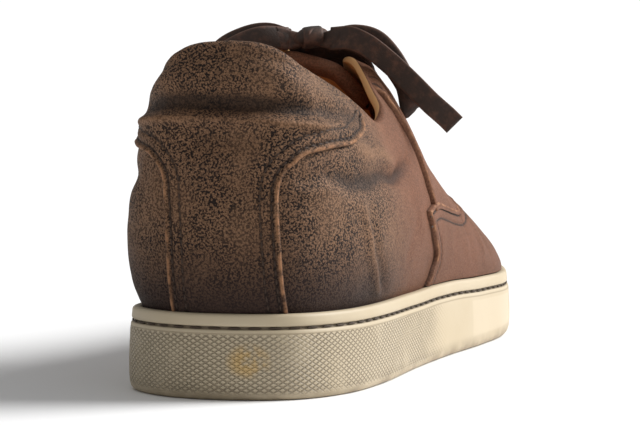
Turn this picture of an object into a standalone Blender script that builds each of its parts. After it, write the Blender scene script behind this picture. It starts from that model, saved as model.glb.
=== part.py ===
"""A worn low lace-up sneaker for the right foot, standing empty and unbent on its sole.

The toe points along +Y, the outer side of the foot along +X, and the floor is at Z = 0 under the
middle of the sole. A place on the shoe is given by its turn and its rise. The turn runs round the
outline, from 0 at the back of the heel to 1 at the toe by the outer side and to -1 at the toe by
the inner side. The rise runs from -1 on the cup's floor through 0 at the rim to 1 at the top line.
"""

import bisect
import math

import bmesh
import bpy
from mathutils import Matrix, Vector

# Driving sizes of the whole shoe, in metres
LENGTH = 0.2975
BALL_WIDTH = 0.101
HEEL_WIDTH = 0.080
BACK_HEIGHT = 0.1105
SIDE_HEIGHT = 0.0825
INSTEP_HEIGHT = 0.104
THROAT_FOOT_HEIGHT = 0.0648
TOE_BOX_HEIGHT = 0.0435

# Cup sole
WALL_HEIGHT = 0.0273
TOE_SPRING = 0.0075
ARCH_RISE = 0.0014
CUP_FLOOR = 0.0125
RIM_WIDTH = 0.0029
RIM_SETBACK = 0.0013
RIM_DROP = 0.0040
GROOVE_HEIGHT = 0.0009
GROOVE_DEPTH = 0.0010
LIP_HEIGHT = 0.0011
TREAD_GROOVE = 0.0024
TREAD_DEPTH = 0.0018
TREAD_PITCH = 0.0075
TREAD_MARGIN = 0.0090
TREAD_SPANS = ((0.045, 0.300), (0.600, 0.900))

# Leather, padding and lace
LEATHER = 0.0024
PANEL_LEATHER = 0.0011
COLLAR_PAD = 0.0048
INSOLE_THICKNESS = 0.0035
TONGUE_THICKNESS = 0.0032
TONGUE_PAD = 0.0024
TONGUE_WIDTH = 0.054
TONGUE_OVERRUN = 0.012
THROAT_WIDTH = 0.022
HOLE_DIAMETER = 0.0042
HOLE_SETBACK = 0.0095
HOLE_PAIRS = 6
HOLE_SPAN = (0.480, 0.685)
HOLE_SEGMENTS = 10
LACE_WIDTH = 0.0080
LACE_THICKNESS = 0.0015
LACE_LIFT = 0.0013
CROSSING_STEPS = 8
CLEARANCE = 0.0003
PANEL_UNDER = CLEARANCE * 2
PANEL_TOP = PANEL_UNDER + PANEL_LEATHER
PANEL_END = 0.985

# The outline's points from the heel round the outer side to the toe and back by the inner side
# along: share of LENGTH; heel: share of HEEL_WIDTH to the side; ball: share of BALL_WIDTH
OUTLINE = (
    (0.000, 0.000, 0.000),
    (0.022, 0.280, 0.000),
    (0.090, 0.440, 0.000),
    (0.192, 0.505, 0.000),
    (0.344, 0.360, 0.130),
    (0.478, 0.000, 0.443),
    (0.608, 0.000, 0.488),
    (0.722, 0.000, 0.498),
    (0.864, 0.000, 0.408),
    (0.968, 0.000, 0.198),
    (1.000, 0.000, -0.075),
    (0.954, 0.000, -0.327),
    (0.826, 0.000, -0.465),
    (0.698, 0.000, -0.496),
    (0.563, 0.000, -0.437),
    (0.428, 0.000, -0.370),
    (0.311, -0.350, -0.095),
    (0.193, -0.490, 0.000),
    (0.085, -0.475, 0.000),
    (0.020, -0.280, 0.000),
)
TOE_ROW = 10

# Stations round each side: they end at these turns, and are closest where the outline bends
SPANS = ((0.16, 8), (0.38, 8), (0.47, 5), (0.73, 9), (0.758, 2), (1.00, 8))
THROAT_END = 0.73
UPPER_RISES = (-1.0, 0.0, 0.08, 0.18, 0.30, 0.42, 0.54, 0.65, 0.75, 0.84, 0.93, 1.0)
LINING_RISES = (1.0, 0.90, 0.78, 0.66, 0.50, 0.34, 0.16, 0.0, -1.0)

# The top line of the open part, from the back of the collar to the throat's lower end
# turn; along: share of LENGTH; heel, throat: shares of HEEL_WIDTH and THROAT_WIDTH to the side;
# back, side, instep, foot: shares of the four heights that the height is mixed from
TOP_LINE = (
    (0.000, 0.030, 0.000, 0.00, 1.00, 0.00, 0.00, 0.00),
    (0.050, 0.033, 0.131, 0.00, 0.97, 0.03, 0.00, 0.00),
    (0.100, 0.044, 0.225, 0.00, 0.87, 0.13, 0.00, 0.00),
    (0.155, 0.074, 0.281, 0.00, 0.71, 0.29, 0.00, 0.00),
    (0.210, 0.128, 0.331, 0.00, 0.52, 0.48, 0.00, 0.00),
    (0.270, 0.202, 0.369, 0.00, 0.28, 0.72, 0.00, 0.00),
    (0.330, 0.282, 0.398, 0.00, 0.00, 1.00, 0.00, 0.00),
    (0.380, 0.332, 0.362, 0.05, 0.00, 0.77, 0.23, 0.00),
    (0.415, 0.360, 0.190, 0.38, 0.00, 0.40, 0.60, 0.00),
    (0.445, 0.388, 0.066, 0.54, 0.00, 0.06, 0.94, 0.00),
    (0.470, 0.412, 0.000, 0.56, 0.00, 0.00, 1.00, 0.00),
    (0.500, 0.440, 0.000, 0.50, 0.00, 0.00, 0.89, 0.11),
    (0.560, 0.497, 0.000, 0.49, 0.00, 0.00, 0.65, 0.35),
    (0.630, 0.567, 0.000, 0.47, 0.00, 0.00, 0.34, 0.66),
    (0.690, 0.627, 0.000, 0.38, 0.00, 0.00, 0.10, 0.90),
    (0.715, 0.649, 0.000, 0.22, 0.00, 0.00, 0.02, 0.98),
    (0.730, 0.657, 0.000, 0.00, 0.00, 0.00, 0.00, 1.00),
)

# The ridge of the closed part, from the throat's lower end to the toe box
# turn; along: share of LENGTH; swing: share of BALL_WIDTH to the inner side;
# foot, toe: shares of the throat foot's and the toe box's heights
RIDGE_LINE = (
    (0.730, 0.657, 0.000, 1.00, 0.00),
    (0.800, 0.716, 0.006, 0.69, 0.31),
    (0.870, 0.776, 0.018, 0.41, 0.59),
    (0.940, 0.832, 0.035, 0.18, 0.82),
    (1.000, 0.880, 0.052, 0.00, 1.00),
)

# The side's section at each turn, as handles of a curve from the rim to the top line
# foot_up, foot_out: from the rim; top_out, top_down: from the top line; shares of BALL_WIDTH
SECTIONS = (
    (0.000, 0.200, 0.060, 0.040, 0.220),
    (0.080, 0.190, 0.085, 0.055, 0.220),
    (0.160, 0.165, 0.105, 0.090, 0.215),
    (0.270, 0.165, 0.098, 0.083, 0.190),
    (0.340, 0.190, 0.090, 0.070, 0.180),
    (0.415, 0.230, 0.080, 0.130, 0.120),
    (0.470, 0.240, 0.062, 0.155, 0.095),
    (0.560, 0.210, 0.034, 0.095, 0.095),
    (0.650, 0.150, 0.012, 0.075, 0.075),
    (0.730, 0.128, 0.006, 0.105, 0.000),
    (0.800, 0.125, 0.004, 0.130, 0.000),
    (0.870, 0.120, 0.008, 0.140, 0.000),
    (0.940, 0.130, 0.016, 0.150, 0.000),
    (1.000, 0.135, 0.020, 0.150, 0.000),
)

# How the inner side's top line differs from the outer side's
# turn; higher: share of INSTEP_HEIGHT; wider: share of HEEL_WIDTH
INNER_SIDE = (
    (0.000, 0.000, 0.000),
    (0.100, 0.000, 0.025),
    (0.180, 0.002, 0.036),
    (0.300, 0.006, 0.015),
    (0.415, 0.034, 0.000),
    (0.470, 0.044, 0.000),
    (0.600, 0.008, 0.000),
    (0.730, 0.000, 0.000),
)

# Wall and floor of the cup along the shoe: along; wall: share of WALL_HEIGHT; floor: of CUP_FLOOR
WALL_LINE = (
    (0.00, 1.000, 1.00),
    (0.37, 0.934, 0.90),
    (0.67, 0.865, 0.68),
    (1.00, 0.690, 0.62),
)

# Pad of the collar: turn; share of COLLAR_PAD
PAD_LINE = (
    (0.00, 1.00),
    (0.15, 1.00),
    (0.33, 0.70),
    (0.42, 0.15),
    (0.47, 0.00),
    (1.00, 0.00),
)

# Tongue: turns of its cross rows, shares of its half width and of its length past the facings
TONGUE_REACHES = (0.50, 0.53, 0.56, 0.60, 0.64, 0.68, 0.72, 0.76)
TONGUE_SHARES = (-1.0, -0.8, -0.6, -0.4, 0.0, 0.4, 0.6, 0.8, 1.0)
OVERRUN_SHARES = (1.0, 0.75, 0.5, 0.25)

# Edge of the heel panel: rise; turn of its outer-side edge; turn of its inner-side edge
HEEL_PANEL_EDGE = (
    (0.00, 0.064, 0.062),
    (0.14, 0.058, 0.061),
    (0.34, 0.056, 0.063),
    (0.48, 0.058, 0.069),
    (0.54, 0.065, 0.074),
    (0.58, 0.078, 0.084),
    (0.62, 0.095, 0.100),
    (0.65, 0.121, 0.124),
    (0.68, 0.150, 0.150),
    (0.71, 0.184, 0.180),
    (0.75, 0.208, 0.204),
    (0.80, 0.237, 0.232),
    (0.86, 0.258, 0.254),
    (0.93, 0.273, 0.270),
    (1.00, 0.284, 0.281),
)
HEEL_PANEL_REACH = 0.34

# Rear edge of the vamp panel: rise; turn
VAMP_REAR = (
    (0.00, 0.409),
    (0.07, 0.419),
    (0.14, 0.430),
    (0.20, 0.421),
    (0.28, 0.408),
    (0.38, 0.399),
    (1.00, 0.399),
)

# Top edge of the vamp panel: turn; rise
VAMP_TOP = (
    (0.400, 0.368),
    (0.420, 0.352),
    (0.450, 0.332),
    (0.505, 0.328),
    (0.570, 0.341),
    (0.620, 0.400),
    (0.660, 0.490),
    (0.700, 0.650),
    (0.730, 0.850),
    (0.744, 0.930),
    (0.757, 1.000),
    (1.000, 1.000),
)
VAMP_REACH = 0.38

# Rear edge of the lace facings: rise; turn
FACING_REAR = (
    (0.30, 0.436),
    (0.60, 0.424),
    (0.85, 0.412),
    (1.00, 0.412),
)
FACING_REACH = 0.72
FACING_GAP = 0.012

# Routes of the bow's parts, in metres, each from the knot outwards
LOOP_OUTER_ROUTE = (
    (0.0073, -0.0255, 0.1100), (0.0140, -0.0255, 0.1113), (0.0210, -0.0260, 0.1098),
    (0.0265, -0.0270, 0.1048), (0.0310, -0.0275, 0.0975), (0.0335, -0.0280, 0.0900),
    (0.0343, -0.0262, 0.0862), (0.0335, -0.0240, 0.0885), (0.0310, -0.0220, 0.0945),
    (0.0260, -0.0212, 0.1016), (0.0205, -0.0215, 0.1064), (0.0150, -0.0215, 0.1092),
)
END_OUTER_ROUTE = (
    (0.0066, -0.0294, 0.1104), (0.0140, -0.0325, 0.1108), (0.0200, -0.0335, 0.1085),
    (0.0255, -0.0335, 0.1045), (0.0310, -0.0335, 0.0998), (0.0365, -0.0330, 0.0945),
    (0.0420, -0.0325, 0.0890), (0.0470, -0.0315, 0.0845), (0.0500, -0.0310, 0.0815),
)
LOOP_INNER_ROUTE = (
    (-0.0093, -0.0255, 0.1100), (-0.0160, -0.0255, 0.1118), (-0.0230, -0.0260, 0.1110),
    (-0.0315, -0.0270, 0.1070), (-0.0364, -0.0275, 0.1005), (-0.0397, -0.0280, 0.0936),
    (-0.0409, -0.0262, 0.0897), (-0.0400, -0.0245, 0.0926), (-0.0373, -0.0230, 0.0995),
    (-0.0318, -0.0217, 0.1067), (-0.0242, -0.0217, 0.1108), (-0.0180, -0.0217, 0.1116),
)
END_INNER_ROUTE = (
    (-0.0086, -0.0294, 0.1104), (-0.0160, -0.0325, 0.1108), (-0.0226, -0.0335, 0.1090),
    (-0.0297, -0.0350, 0.1048), (-0.0355, -0.0354, 0.0981), (-0.0405, -0.0354, 0.0908),
    (-0.0449, -0.0351, 0.0837), (-0.0476, -0.0347, 0.0767),
)
LACE_STEP = 0.0075
KNOT_CENTRE = (-0.0010, -0.0265, 0.1108)
KNOT_SIZE = (0.0160, 0.0120, 0.0064)

# Colour, roughness and metallic value of each material
LEATHER_LOOK = ((0.130, 0.070, 0.045), 0.62, 0.0)
PANEL_LOOK = ((0.110, 0.060, 0.040), 0.62, 0.0)
LINING_LOOK = ((0.560, 0.270, 0.090), 0.70, 0.0)
RUBBER_LOOK = ((0.700, 0.630, 0.500), 0.55, 0.0)
LACE_LOOK = ((0.040, 0.024, 0.018), 0.75, 0.0)


def clear_scene():
    for old in list(bpy.data.objects):
        bpy.data.objects.remove(old)


def column_slope(table, row, column):
    """The slope that a smooth curve through one column of a table has at a row."""
    first, last = max(row - 1, 0), min(row + 1, len(table) - 1)
    return (table[last][column] - table[first][column]) / (table[last][0] - table[first][0])


def read(table, key):
    """The columns after the first, read at a key on a smooth curve through the table's rows."""
    key = min(max(key, table[0][0]), table[-1][0])
    row = min(max(bisect.bisect_right([line[0] for line in table], key) - 1, 0), len(table) - 2)
    span = table[row + 1][0] - table[row][0]
    t = (key - table[row][0]) / span
    values = []
    for column in range(1, len(table[0])):
        a, b = table[row][column], table[row + 1][column]
        slope_a = column_slope(table, row, column) * span
        slope_b = column_slope(table, row + 1, column) * span
        values.append(
            (1 + 2 * t) * (1 - t) ** 2 * a + t * (1 - t) ** 2 * slope_a
            + t * t * (3 - 2 * t) * b + t * t * (t - 1) * slope_b
        )
    return values


def smooth_step(low, high, value):
    t = min(max((value - low) / (high - low), 0.0), 1.0)
    return t * t * (3 - 2 * t)


def closed_curve(points, steps):
    """Points along a smooth closed curve, with steps of them to each span."""
    count, curve = len(points), []
    for index in range(count):
        p0, p1, p2, p3 = (points[(index + shift) % count] for shift in (-1, 0, 1, 2))
        for step in range(steps):
            t = step / steps
            curve.append(
                0.5 * (2 * p1 + (p2 - p0) * t + (2 * p0 - 5 * p1 + 4 * p2 - p3) * t ** 2
                       + (3 * p1 - p0 - 3 * p2 + p3) * t ** 3)
            )
    return curve


class Side:
    """One side of the outline, from heel to toe, read by the share of its length."""

    def __init__(self, points):
        self.points = points
        self.along = [0.0]
        for a, b in zip(points, points[1:]):
            self.along.append(self.along[-1] + (b - a).length)

    def at(self, share):
        place = share * self.along[-1]
        row = min(bisect.bisect_right(self.along, place) - 1, len(self.points) - 2)
        t = (place - self.along[row]) / (self.along[row + 1] - self.along[row])
        return self.points[row].lerp(self.points[row + 1], t)


def outline_sides():
    """The outline's two sides, with the shoe's length and the middle of its width set true."""
    steps = 24
    rough = [Vector((heel * HEEL_WIDTH + ball * BALL_WIDTH, along)) for along, heel, ball in OUTLINE]
    curve = closed_curve(rough, steps)
    lowest, highest = min(p.y for p in curve), max(p.y for p in curve)
    middle = (min(p.x for p in curve) + max(p.x for p in curve)) / 2
    curve = [
        Vector((p.x - middle, ((p.y - lowest) / (highest - lowest) - 0.5) * LENGTH)) for p in curve
    ]
    toe = TOE_ROW * steps
    return {1: Side(curve[:toe + 1]), -1: Side([curve[0]] + curve[:toe - 1:-1])}, -middle


SIDES, HEEL_X = outline_sides()


def wrapped(turn):
    """The same turn between -1 and 1, carried on past the toe."""
    return turn - 2 if turn > 1 else turn + 2 if turn < -1 else turn


def outline_point(turn):
    turn = wrapped(turn)
    return SIDES[1 if turn >= 0 else -1].at(abs(turn))


def outline_normal(turn):
    ahead = outline_point(turn + 0.012) - outline_point(turn - 0.012)
    return Vector((ahead.y, -ahead.x)).normalized()


def outline(turn, inset):
    """A point that far inside the outline, with the direction that faces out of it."""
    normal = outline_normal(turn)
    return outline_point(turn) - normal * inset, normal


def share_along(y):
    return y / LENGTH + 0.5


def bottom_height(x, y):
    """Underside of the sole: flat at heel and ball, raised at the toe and under the inner waist."""
    along = share_along(y)
    spring = TOE_SPRING * max((along - 0.76) / 0.24, 0.0) ** 1.8
    waist = smooth_step(0.34, 0.44, along) * (1 - smooth_step(0.50, 0.60, along))
    inner = smooth_step(-0.30, 0.42, -x / BALL_WIDTH)
    return spring + ARCH_RISE * waist * inner


def rim_height(y):
    along = share_along(y)
    return bottom_height(0.0, y) + read(WALL_LINE, along)[0] * WALL_HEIGHT


def cup_height(y):
    along = share_along(y)
    return bottom_height(BALL_WIDTH, y) + read(WALL_LINE, along)[1] * CUP_FLOOR


def top_place(turn):
    """The top line at a turn: its point, and the direction along it towards the toe."""
    side, reach = (1 if turn >= 0 else -1), abs(turn)
    if reach <= THROAT_END:
        along, heel, throat, back, low, instep, foot = read(TOP_LINE, reach)
        across = heel * HEEL_WIDTH + throat * THROAT_WIDTH
        height = (back * BACK_HEIGHT + low * SIDE_HEIGHT + instep * INSTEP_HEIGHT
                  + foot * THROAT_FOOT_HEIGHT)
        if side < 0:
            higher, wider = read(INNER_SIDE, reach)
            height += higher * INSTEP_HEIGHT
            across += wider * HEEL_WIDTH
        return Vector((HEEL_X + side * across, (along - 0.5) * LENGTH, height))
    along, swing, foot, toe = read(RIDGE_LINE, reach)
    return Vector((
        HEEL_X - swing * BALL_WIDTH,
        (along - 0.5) * LENGTH,
        foot * THROAT_FOOT_HEIGHT + toe * TOE_BOX_HEIGHT,
    ))


def top_handle(turn):
    """The direction in which the leather leaves the top line, seen from above."""
    normal = outline_normal(turn)
    reach = abs(wrapped(turn))
    if reach <= THROAT_END:
        return Vector((normal.x, normal.y, 0.0))
    near, far = min(reach, 0.99), min(reach, 0.99) + 0.01
    ahead = (top_place(far) - top_place(near)).normalized()
    return Vector((normal.x, 0.0, 0.0)) + ahead * normal.y


def bare_skin(turn, rise):
    """The upper's outer surface at a turn and a rise."""
    turn = wrapped(turn)
    place, normal = outline(turn, RIM_SETBACK + RIM_WIDTH + CLEARANCE)
    rim = Vector((place.x, place.y, rim_height(place.y)))
    if rise <= 0:
        return rim + Vector((0, 0, rise * (rim.z - cup_height(place.y) - CLEARANCE)))
    top = top_place(turn)
    foot_up, foot_out, top_out, top_down = (v * BALL_WIDTH for v in read(SECTIONS, abs(turn)))
    low = rim + Vector((normal.x * foot_out, normal.y * foot_out, foot_up))
    high = top + top_handle(turn) * top_out - Vector((0, 0, top_down))
    t = rise
    return (rim * (1 - t) ** 3 + low * (3 * t * (1 - t) ** 2)
            + high * (3 * t * t * (1 - t)) + top * t ** 3)


def side_normal(turn, rise):
    low, high = max(rise - 0.01, 0.0), min(rise + 0.01, 1.0)
    round_it = bare_skin(turn + 0.004, rise) - bare_skin(turn - 0.004, rise)
    up_it = bare_skin(turn, high) - bare_skin(turn, low)
    return round_it.cross(up_it).normalized()


def skin_normal(turn, rise):
    """The direction that faces out of the upper, the same for both sides along the ridge."""
    if rise < 0:
        flat = outline_normal(turn)
        return Vector((flat.x, flat.y, 0.0))
    if rise == 1.0 and abs(turn) >= THROAT_END:
        reach = min(abs(turn), 0.99)
        return (side_normal(reach, 1.0) + side_normal(-reach, 1.0)).normalized()
    return side_normal(turn, rise)


def skin(turn, rise, lift=0.0):
    """A point of the upper's outer surface, lifted off it or, with a minus, sunk into it."""
    return bare_skin(turn, rise) + skin_normal(turn, rise) * lift


def wall(turn, rise):
    """The upper's thickness: plain leather, and the collar's pad near the top line."""
    pad = read(PAD_LINE, abs(turn))[0] * smooth_step(0.55, 0.85, rise)
    return LEATHER + COLLAR_PAD * pad * (1 - 0.35 * smooth_step(0.85, 1.0, rise))


def rise_below_top(turn, gap):
    """The rise of the point that lies that far below the top line, measured on the leather."""
    steps, length = 60, 0.0
    last = bare_skin(turn, 1.0)
    for step in range(1, steps):
        rise = 1 - step / steps
        point = bare_skin(turn, rise)
        length += (point - last).length
        if length >= gap:
            return rise + (length - gap) / (point - last).length / steps
        last = point
    return 1 / steps


def rise_above_rim(turn):
    """The rise at which a panel's outer face clears the rim."""
    low, high = 0.0, 0.5
    level = bare_skin(turn, 0.0).z + 1.5 * CLEARANCE
    for _ in range(20):
        middle = (low + high) / 2
        if skin(turn, middle, PANEL_TOP).z < level:
            low = middle
        else:
            high = middle
    return high


def reaches():
    """The stations' turns on one side, from heel to toe."""
    found, start = [0.0], 0.0
    for end, count in SPANS:
        found += [start + (end - start) * (index + 1) / count for index in range(count)]
        start = end
    return found


REACHES = reaches()
TURNS = [-reach for reach in REACHES[-2:0:-1]] + REACHES
HEEL_INDEX = len(REACHES) - 2


def material(name, look):
    colour, roughness, metallic = look
    made = bpy.data.materials.new(name)
    made.use_nodes = True
    shader = made.node_tree.nodes["Principled BSDF"]
    shader.inputs["Base Color"].default_value = (*colour, 1.0)
    shader.inputs["Roughness"].default_value = roughness
    shader.inputs["Metallic"].default_value = metallic
    made.diffuse_color = (*colour, 1.0)
    return made


def finish(bm, name, made_of):
    """Turns a closed bmesh into one named, smooth-shaded object.

    Its four-sided faces are all split the same way, so a panel's facets lie along the upper's.
    """
    bmesh.ops.remove_doubles(bm, verts=bm.verts, dist=0.000005)
    bmesh.ops.recalc_face_normals(bm, faces=bm.faces)
    bmesh.ops.triangulate(bm, faces=bm.faces, quad_method="FIXED")
    mesh = bpy.data.meshes.new(name)
    bm.to_mesh(mesh)
    bm.free()
    mesh.shade_smooth()
    mesh.set_sharp_from_angle(angle=math.radians(40))
    mesh.materials.append(made_of)
    made = bpy.data.objects.new(name, mesh)
    bpy.context.collection.objects.link(made)
    return made


def cutter(bm, name):
    bmesh.ops.recalc_face_normals(bm, faces=bm.faces)
    mesh = bpy.data.meshes.new(name)
    bm.to_mesh(mesh)
    bm.free()
    made = bpy.data.objects.new(name, mesh)
    made.hide_render = True
    made.display_type = "WIRE"
    bpy.context.collection.objects.link(made)
    return made


def boolean(target, tool, operation):
    modifier = target.modifiers.new(f"{operation.lower()} {tool.name}", "BOOLEAN")
    modifier.operation = operation
    modifier.object = tool
    modifier.solver = "EXACT"


def add_row(bm, points):
    return [bm.verts.new(point) for point in points]


def join_rows(bm, first, second, closed=False):
    """Faces between two rows of as many points."""
    count = len(first)
    for index in range(count if closed else count - 1):
        following = (index + 1) % count
        bm.faces.new((first[index], first[following], second[following], second[index]))


def sheet_solid(bm, outer, inner):
    """One closed body from two grids of points, joined all round their edges."""
    outer_rows = [add_row(bm, row) for row in outer]
    inner_rows = [add_row(bm, row) for row in inner]
    for rows in (outer_rows, inner_rows):
        for first, second in zip(rows, rows[1:]):
            join_rows(bm, first, second)
    join_rows(bm, outer_rows[0], inner_rows[0])
    join_rows(bm, outer_rows[-1], inner_rows[-1])
    join_rows(bm, [row[0] for row in outer_rows], [row[0] for row in inner_rows])
    join_rows(bm, [row[-1] for row in outer_rows], [row[-1] for row in inner_rows])


def ring(bm, inset, height):
    """A closed row of points round the outline, at a height worked out from each place."""
    points = []
    for turn in TURNS:
        place, _ = outline(turn, inset)
        points.append((place.x, place.y, height(place.x, place.y)))
    return add_row(bm, points)


def fill_ring(bm, edge, height, across=2):
    """Closes a ring by rows of faces across it, at a height worked out from each place."""
    rows = [[edge[HEEL_INDEX]]]
    for step in range(1, len(REACHES) - 1):
        outer, inner = edge[HEEL_INDEX + step], edge[HEEL_INDEX - step]
        middle = []
        for part in range(1, across):
            place = outer.co.lerp(inner.co, part / across)
            middle.append(bm.verts.new((place.x, place.y, height(place.x, place.y))))
        rows.append([outer, *middle, inner])
    for first, second in zip(rows[1:], rows[2:]):
        join_rows(bm, first, second)
    for tip, row in ((edge[HEEL_INDEX], rows[1]), (edge[-1], rows[-1])):
        for a, b in zip(row, row[1:]):
            bm.faces.new((tip, a, b))


def width_at(y, inset):
    """The outline's inner and outer x at a place along the shoe, that far inside it."""
    found = []
    for side in (-1, 1):
        near = min(SIDES[side].points[1:-1], key=lambda point: abs(point.y - y))
        found.append(near.x - side * inset)
    return found


def tread_cutter():
    """Grooves across the heel and the ball, shallow enough to leave the flat treads between."""
    bm = bmesh.new()
    for start, end in TREAD_SPANS:
        count = int((end - start) * LENGTH / TREAD_PITCH)
        for index in range(count + 1):
            y = (start - 0.5) * LENGTH + index * TREAD_PITCH
            inner, outer = width_at(y, TREAD_MARGIN)
            top = bottom_height(0.0, y) + TREAD_DEPTH
            size = Matrix.Diagonal((outer - inner, TREAD_GROOVE, 2 * top, 1))
            place = Matrix.Translation(((outer + inner) / 2, y, 0.0))
            bmesh.ops.create_cube(bm, size=1.0, matrix=place @ size)
    return cutter(bm, "tread_cutter")


def make_cupsole(rubber):
    """The moulded cup: bulged wall, stitch groove, lip and rim outside, a recess inside."""
    def wall_share(share):
        return lambda x, y: bottom_height(x, y) + share * (rim_height(y) - bottom_height(x, y))

    def below_rim(drop):
        return lambda x, y: rim_height(y) - drop

    def floor(x, y):
        return cup_height(y)

    groove_top = RIM_DROP
    groove_bottom = RIM_DROP + GROOVE_HEIGHT
    profile = (
        (0.0030, bottom_height),
        (0.0010, wall_share(0.03)),
        (0.0002, wall_share(0.10)),
        (0.0000, wall_share(0.40)),
        (RIM_SETBACK * 0.45, below_rim(groove_bottom + LIP_HEIGHT)),
        (RIM_SETBACK * 0.55, below_rim(groove_bottom)),
        (RIM_SETBACK + GROOVE_DEPTH, below_rim((groove_top + groove_bottom) / 2)),
        (RIM_SETBACK * 0.80, below_rim(groove_top)),
        (RIM_SETBACK * 0.90, below_rim(RIM_DROP * 0.25)),
        (RIM_SETBACK * 1.50, below_rim(0.0)),
        (RIM_SETBACK + RIM_WIDTH, below_rim(0.0)),
        (RIM_SETBACK + RIM_WIDTH, floor),
    )
    bm = bmesh.new()
    rings = [ring(bm, inset, height) for inset, height in profile]
    for first, second in zip(rings, rings[1:]):
        join_rows(bm, first, second, closed=True)
    fill_ring(bm, rings[0], bottom_height)
    fill_ring(bm, rings[-1], floor)
    sole = finish(bm, "cupsole", rubber)
    boolean(sole, tread_cutter(), "DIFFERENCE")
    return sole


def make_insole(lining):
    """The sock board on the cup's floor."""
    edge_inset = RIM_SETBACK + RIM_WIDTH + LEATHER + 3 * CLEARANCE

    def under(x, y):
        return cup_height(y) + CLEARANCE

    def top(x, y):
        return cup_height(y) + CLEARANCE + INSOLE_THICKNESS

    bm = bmesh.new()
    low = ring(bm, edge_inset, under)
    high = ring(bm, edge_inset, top)
    join_rows(bm, low, high, closed=True)
    fill_ring(bm, low, under)
    fill_ring(bm, high, top)
    return finish(bm, "insole", lining)


def lip_points(turn, steps=3):
    """Points over the rounded edge of the top line, from the outer to the inner surface."""
    outer = skin(turn, 1.0)
    inner = skin(turn, 1.0, -wall(turn, 1.0))
    middle, half = (outer + inner) / 2, (outer - inner) / 2
    ahead = (bare_skin(turn, 1.0) - bare_skin(turn, 0.98)).normalized()
    open_share = 1 - smooth_step(THROAT_END - 0.05, THROAT_END, abs(turn))
    points = []
    for step in range(1, steps):
        angle = math.pi * step / steps
        swell = ahead * half.length * math.sin(angle) * open_share
        points.append(middle + half * math.cos(angle) + swell)
    return points


def make_upper(leather):
    """The hollow leather shell: an outer and an inner surface, joined at the foot and the top."""
    bm = bmesh.new()
    columns = []
    for turn in TURNS:
        outer = add_row(bm, [skin(turn, rise) for rise in UPPER_RISES])
        inner = add_row(bm, [skin(turn, rise, -wall(turn, rise)) for rise in LINING_RISES])
        lip = add_row(bm, lip_points(turn)) if abs(turn) <= THROAT_END else None
        columns.append((outer, lip, inner))
    for index, (outer, lip, inner) in enumerate(columns):
        next_outer, next_lip, next_inner = columns[(index + 1) % len(columns)]
        join_rows(bm, outer, next_outer)
        join_rows(bm, inner, next_inner)
        join_rows(bm, [inner[-1], outer[0]], [next_inner[-1], next_outer[0]])
        if lip and next_lip:
            join_rows(bm, [outer[-1], *lip, inner[0]], [next_outer[-1], *next_lip, next_inner[0]])
    return finish(bm, "upper", leather)


def hole_turn(index):
    """The turn of a lace hole, counted from the collar, on the outer side."""
    first, last = HOLE_SPAN
    return first + (last - first) * index / (HOLE_PAIRS - 1)


def hole_place(side, index):
    """A lace hole's point on the leather and the direction that faces out of it."""
    turn = side * hole_turn(index)
    rise = rise_below_top(turn, HOLE_SETBACK)
    return bare_skin(turn, rise), skin_normal(turn, rise)


def hole_cutter():
    bm = bmesh.new()
    for side in (1, -1):
        for index in range(HOLE_PAIRS):
            point, normal = hole_place(side, index)
            turned = normal.to_track_quat("Z", "Y").to_matrix().to_4x4()
            bmesh.ops.create_cone(
                bm, cap_ends=True, segments=HOLE_SEGMENTS, radius1=HOLE_DIAMETER / 2,
                radius2=HOLE_DIAMETER / 2, depth=4 * LEATHER,
                matrix=Matrix.Translation(point) @ turned,
            )
    return cutter(bm, "hole_cutter")


def clipped_panel(name, look, turns, rises, clip):
    """A leather panel over the upper, its grid of places pulled inside the panel's outline."""
    bm = bmesh.new()
    columns = []
    for turn in turns:
        places = [clip(turn, rise) for rise in rises]
        under = add_row(bm, [skin(*place, PANEL_UNDER) for place in places])
        over = add_row(bm, [skin(*place, PANEL_TOP) for place in places])
        on_ridge = places[-1][1] == 1.0
        columns.append((under, over, on_ridge))
    for column, following in zip(columns, columns[1:]):
        under, over, on_ridge = column
        next_under, next_over, next_on_ridge = following
        join_rows(bm, under, next_under)
        join_rows(bm, over, next_over)
        join_rows(bm, [under[0], over[0]], [next_under[0], next_over[0]])
        if not (on_ridge and next_on_ridge):
            join_rows(bm, [under[-1], over[-1]], [next_under[-1], next_over[-1]])
    for under, over, _ in (columns[0], columns[-1]):
        join_rows(bm, under, over)
    return finish(bm, name, look)


def make_heel_panel(look):
    """The counter panel, narrow at the rim and spread into a wing on each side of the collar."""
    def clip(turn, rise):
        outer_turn, inner_turn = read(HEEL_PANEL_EDGE, rise)
        turn = max(min(turn, outer_turn), -inner_turn)
        return turn, min(max(rise, rise_above_rim(turn)), PANEL_END)

    turns = [turn for turn in TURNS if abs(turn) < HEEL_PANEL_REACH]
    rises = sorted({row[0] for row in HEEL_PANEL_EDGE} | set(UPPER_RISES[1:]))
    return clipped_panel("heel_panel", look, turns, rises, clip)


def make_vamp_panel(look):
    """The front panel: a curved rear edge on each side, a low top edge, and all of the toe."""
    def clip(turn, rise):
        side, reach = (1 if turn > 0 else -1), abs(turn)
        reach = max(reach, read(VAMP_REAR, rise)[0])
        return side * reach, min(max(rise, rise_above_rim(reach)), read(VAMP_TOP, reach)[0])

    found = [reach for reach in REACHES if reach > VAMP_REACH]
    turns = found + [-reach for reach in found[-2::-1]]
    return clipped_panel("vamp_panel", look, turns, UPPER_RISES[1:], clip)


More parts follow.
